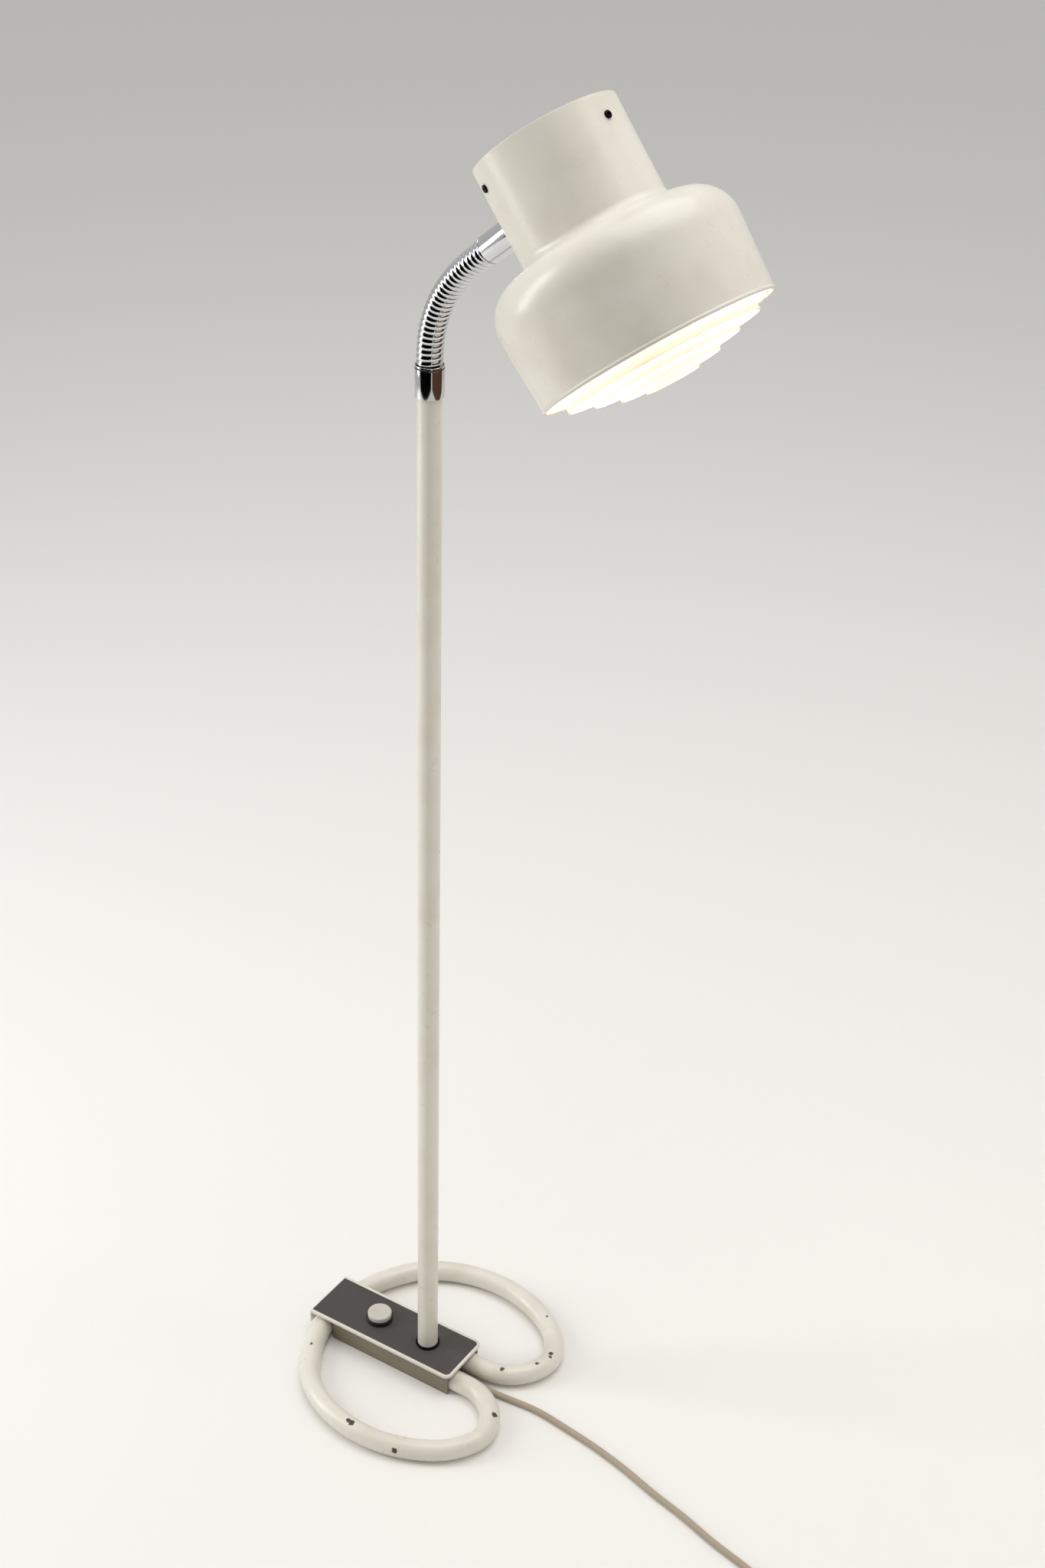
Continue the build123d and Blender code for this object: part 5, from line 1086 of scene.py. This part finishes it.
class LAMP_OT_head_fixing(bpy.types.Operator):
    """Upper ferrule with its set screw, and the shade's three screws"""

    bl_idname = "lamp.head_fixing"
    bl_label = "Upper Ferrule and Screws"

    def execute(self, context):
        sizes = context.scene.lamp_sizes
        _, end, shade = neck_places(sizes)
        foot = leaned(end, -SLEEVE_SINK)
        neck = sizes.collar_r
        sleeve = self.sleeve(sizes, neck, foot)
        finished(context, "neck_sleeve", sleeve, "head", ("chrome", "core"), "upper_ferrule")

        parts = []
        outline = ((2.0, -6.0, 0.3), (2.0, 0.0, 0), (3.0, 0.0, 0), (3.0, 1.6, 0.5))
        for k in range(SHADE_SCREWS):
            up = shade @ Matrix.Rotation(FULL_TURN * k / SHADE_SCREWS, 4, "Z")
            out = leaned(leaned(up, SHADE_SCREW_UP, radians(90)), neck + SHADE_SCREW_OFF)
            parts.append(self.socket_screw(outline, 1.3, 1.0, out))
        spot = leaned(foot, GRUB_UP) @ Matrix.Rotation(radians(GRUB_TURN), 4, "Z")
        out = leaned(leaned(spot, 0.0, radians(90)), sizes.ferrule_r - (GRUB_SUNK + GRUB_L) * MM)
        parts.append(self.socket_screw(((1.2, 0.0, 0.2), (1.2, GRUB_L, 0.2)), 0.65, 0.8, out))
        bm = joined(*parts)
        finished(context, "socket_screws", bm, "head", ("black_steel",), "head_screws")
        return {"FINISHED"}

    def sleeve(self, sizes, neck, foot):
        """The upper ferrule, whose end follows the shade's round neck."""
        f = sizes.ferrule_r / MM
        section = ((7.25, 5.0, 0), (10.95, 5.0, 0), (10.95, 0.0, 0.2), (f, 0.0, 0.5), (f, 1.6, 0.15))
        section += ((f - 0.3, 1.9, 0.1), (f - 0.3, 2.4, 0.1), (f, 2.7, 0.15), (f, SLEEVE_L, 0))
        section += ((5.1, SLEEVE_L, 0), (5.1, 37.5, 0), (7.25, 37.5, 0))
        bm = turned(section, sizes.steps, 4)
        for vert in bm.verts:
            if vert.co.z > (SLEEVE_L - 0.1) * MM:
                vert.co.z = SLEEVE_L * MM + neck - sqrt(neck**2 - vert.co.y**2)
        # its groove and the bore over the winding take the dark core finish: painted shade in the recesses
        for face in bm.faces:
            mid = face.calc_center_median()
            face.material_index = int(mid.xy.length < 0.0110 and mid.z < 0.01 or 0.0018 < mid.z < 0.0025)
        return placed(bm, foot)

    def socket_screw(self, outline, flat, depth, place):
        """A turned screw whose recess is drawn to a hexagon; flat is half its width, in mm."""
        low, top = outline[0][1], outline[-1][1]
        recess_r = flat * 1.1
        recess = ((recess_r, top, 0), (recess_r, top - depth, 0), (0, top - depth, 0))
        section = ((0, low, 0), *outline, *recess)
        bm = turned(section, 36, 3)
        for vert in bm.verts:
            reach = vert.co.xy.length
            if abs(reach - recess_r * MM) < NEAR and vert.co.z > (top - depth) * MM - NEAR:
                angle = Vector((1, 0)).angle_signed(vert.co.xy)
                part = (angle + pi / 6) % (pi / 3) - pi / 6
                vert.co.xy = vert.co.xy * (flat * MM / cos(part) / reach)
        return placed(bm, place)


class LAMP_OT_shade(bpy.types.Operator):
    """Spun shade with its rolled rim, and the louvre's rings"""

    bl_idname = "lamp.shade"
    bl_label = "Shade"

    def execute(self, context):
        sizes = context.scene.lamp_sizes
        _, _, place = neck_places(sizes)
        drum, mouth, collar = sizes.shade_r / MM, sizes.mouth_r / MM, sizes.collar_r / MM
        wall, top = sizes.shade_wall / MM, sizes.shade_h / MM
        section = ((mouth, 0, 0), (drum, DRUM_EDGE, 0), (drum, SHOULDER, 30.0), (collar, SHOULDER, 8.3))
        section += ((collar, top, 0.5), (collar - wall, top, 0.5), (collar - wall, SHOULDER - wall, 9.5))
        section += ((drum - wall, SHOULDER - wall, 28.8), (drum - wall, DRUM_EDGE, 0), (mouth - wall, 0, 0))
        shell = turned(section, SHADE_STEPS, 12)
        shell.normal_update()
        for face in shell.faces:
            mid = face.calc_center_median()
            inward = face.normal.xy.dot(mid.xy.normalized()) + face.normal.z < 0
            face.material_index = int(inward and mid.z < (top - 0.3) * MM)
        rim = bmesh.new()
        bead = Matrix.Translation(((mouth - wall / 2) * MM, 0, 0)) @ Matrix.Rotation(radians(90), 4, "X")
        circle(rim, 20, RIM_BEAD_R, bead)
        spun(rim, rim.verts[:] + rim.edges[:], SHADE_STEPS)
        whole = placed(joined(shell, tidy(rim)), place)
        finished(context, "shade_shell", whole, "head", ("shade", "enamel"), "shade", sharp=50.0)
        for number, (r, low) in enumerate(zip(LOUVRE_R, LOUVRE_LOW), start=1):
            high = low + LOUVRE_H
            section = ((r + 1.5, low, 0.3), (r + 2.7, low, 0.3), (r + 1.2, high, 0.3), (r, high, 0.3))
            ring = turned(section, 144, 2, place)
            node = f"louvre_ring_{number}"
            finished(context, f"louvre_hoop_{number}", ring, "head", ("enamel",), node)
        return {"FINISHED"}


class LAMP_OT_wires(bpy.types.Operator):
    """Cable in the post, cable in the head, and the leads in the base"""

    bl_idname = "lamp.wires"
    bl_label = "Inner Wires"

    def execute(self, context):
        _, _, shade = neck_places(context.scene.lamp_sizes)
        wire_piece(context, "post_wire", [POST_RISER], CABLE_D, "stand", ("post_cable",))
        drop = [(x, 0, z) for x, z in HEAD_DROP]
        wire_piece(context, "head_wire", [drop], CABLE_D, "head", ("head_cable",), shade)
        runs = [[(x, side * y, z) for x, y, z in run] for side in (-1, 1) for run in (CORE_RUN, SWITCH_RUN)]
        wire_piece(context, "base_wires", runs, LEAD_D, "stand", ("base_leads",))
        return {"FINISHED"}


class LAMP_OT_fittings(bpy.types.Operator):
    """Finishes of the fittings that keep their built shape"""

    bl_idname = "lamp.fittings"
    bl_label = "Fittings"

    def execute(self, context):
        for finish, nodes in FITTINGS.items():
            for name in nodes:
                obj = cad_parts[name]
                if not obj.material_slots:
                    obj.data.materials.append(FINISHES[finish])
                for slot in obj.material_slots:
                    slot.material = FINISHES[finish]
        return {"FINISHED"}


class LAMP_PT_panel(bpy.types.Panel):
    """Buttons for each group of pieces, in building order"""

    bl_label = "Gooseneck Floor Lamp"
    bl_idname = "LAMP_PT_panel"
    bl_space_type = "VIEW_3D"
    bl_region_type = "UI"
    bl_category = "Lamp"

    def draw(self, context):
        column = self.layout.column()
        for operator in OPERATORS:
            column.operator(operator.bl_idname)
        for group in (context.scene.lamp_sizes, context.scene.lamp_colours):
            box = self.layout.box()
            for name in group.__annotations__:
                box.prop(group, name)


OPERATORS = (
    LAMP_OT_stage,
    LAMP_OT_cord,
    LAMP_OT_bar,
    LAMP_OT_cover,
    LAMP_OT_switch,
    LAMP_OT_post,
    LAMP_OT_neck,
    LAMP_OT_head_fixing,
    LAMP_OT_shade,
    LAMP_OT_wires,
    LAMP_OT_fittings,
)
CLASSES = (LampSizes, LampColours, *OPERATORS, LAMP_PT_panel)


def register():
    """Register every class and hang the settings on the scene."""
    for cls in CLASSES:
        bpy.utils.register_class(cls)
    bpy.types.Scene.lamp_sizes = PointerProperty(type=LampSizes)
    bpy.types.Scene.lamp_colours = PointerProperty(type=LampColours)


def unregister():
    """Take the settings and the classes away again."""
    del bpy.types.Scene.lamp_colours
    del bpy.types.Scene.lamp_sizes
    for cls in reversed(CLASSES):
        bpy.utils.unregister_class(cls)


def main():
    """Build the whole lamp."""
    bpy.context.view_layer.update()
    register()
    for operator in OPERATORS:
        group, name = operator.bl_idname.split(".")
        getattr(getattr(bpy.ops, group), name)()
    bpy.context.view_layer.update()


if __name__ == "__main__":
    main()
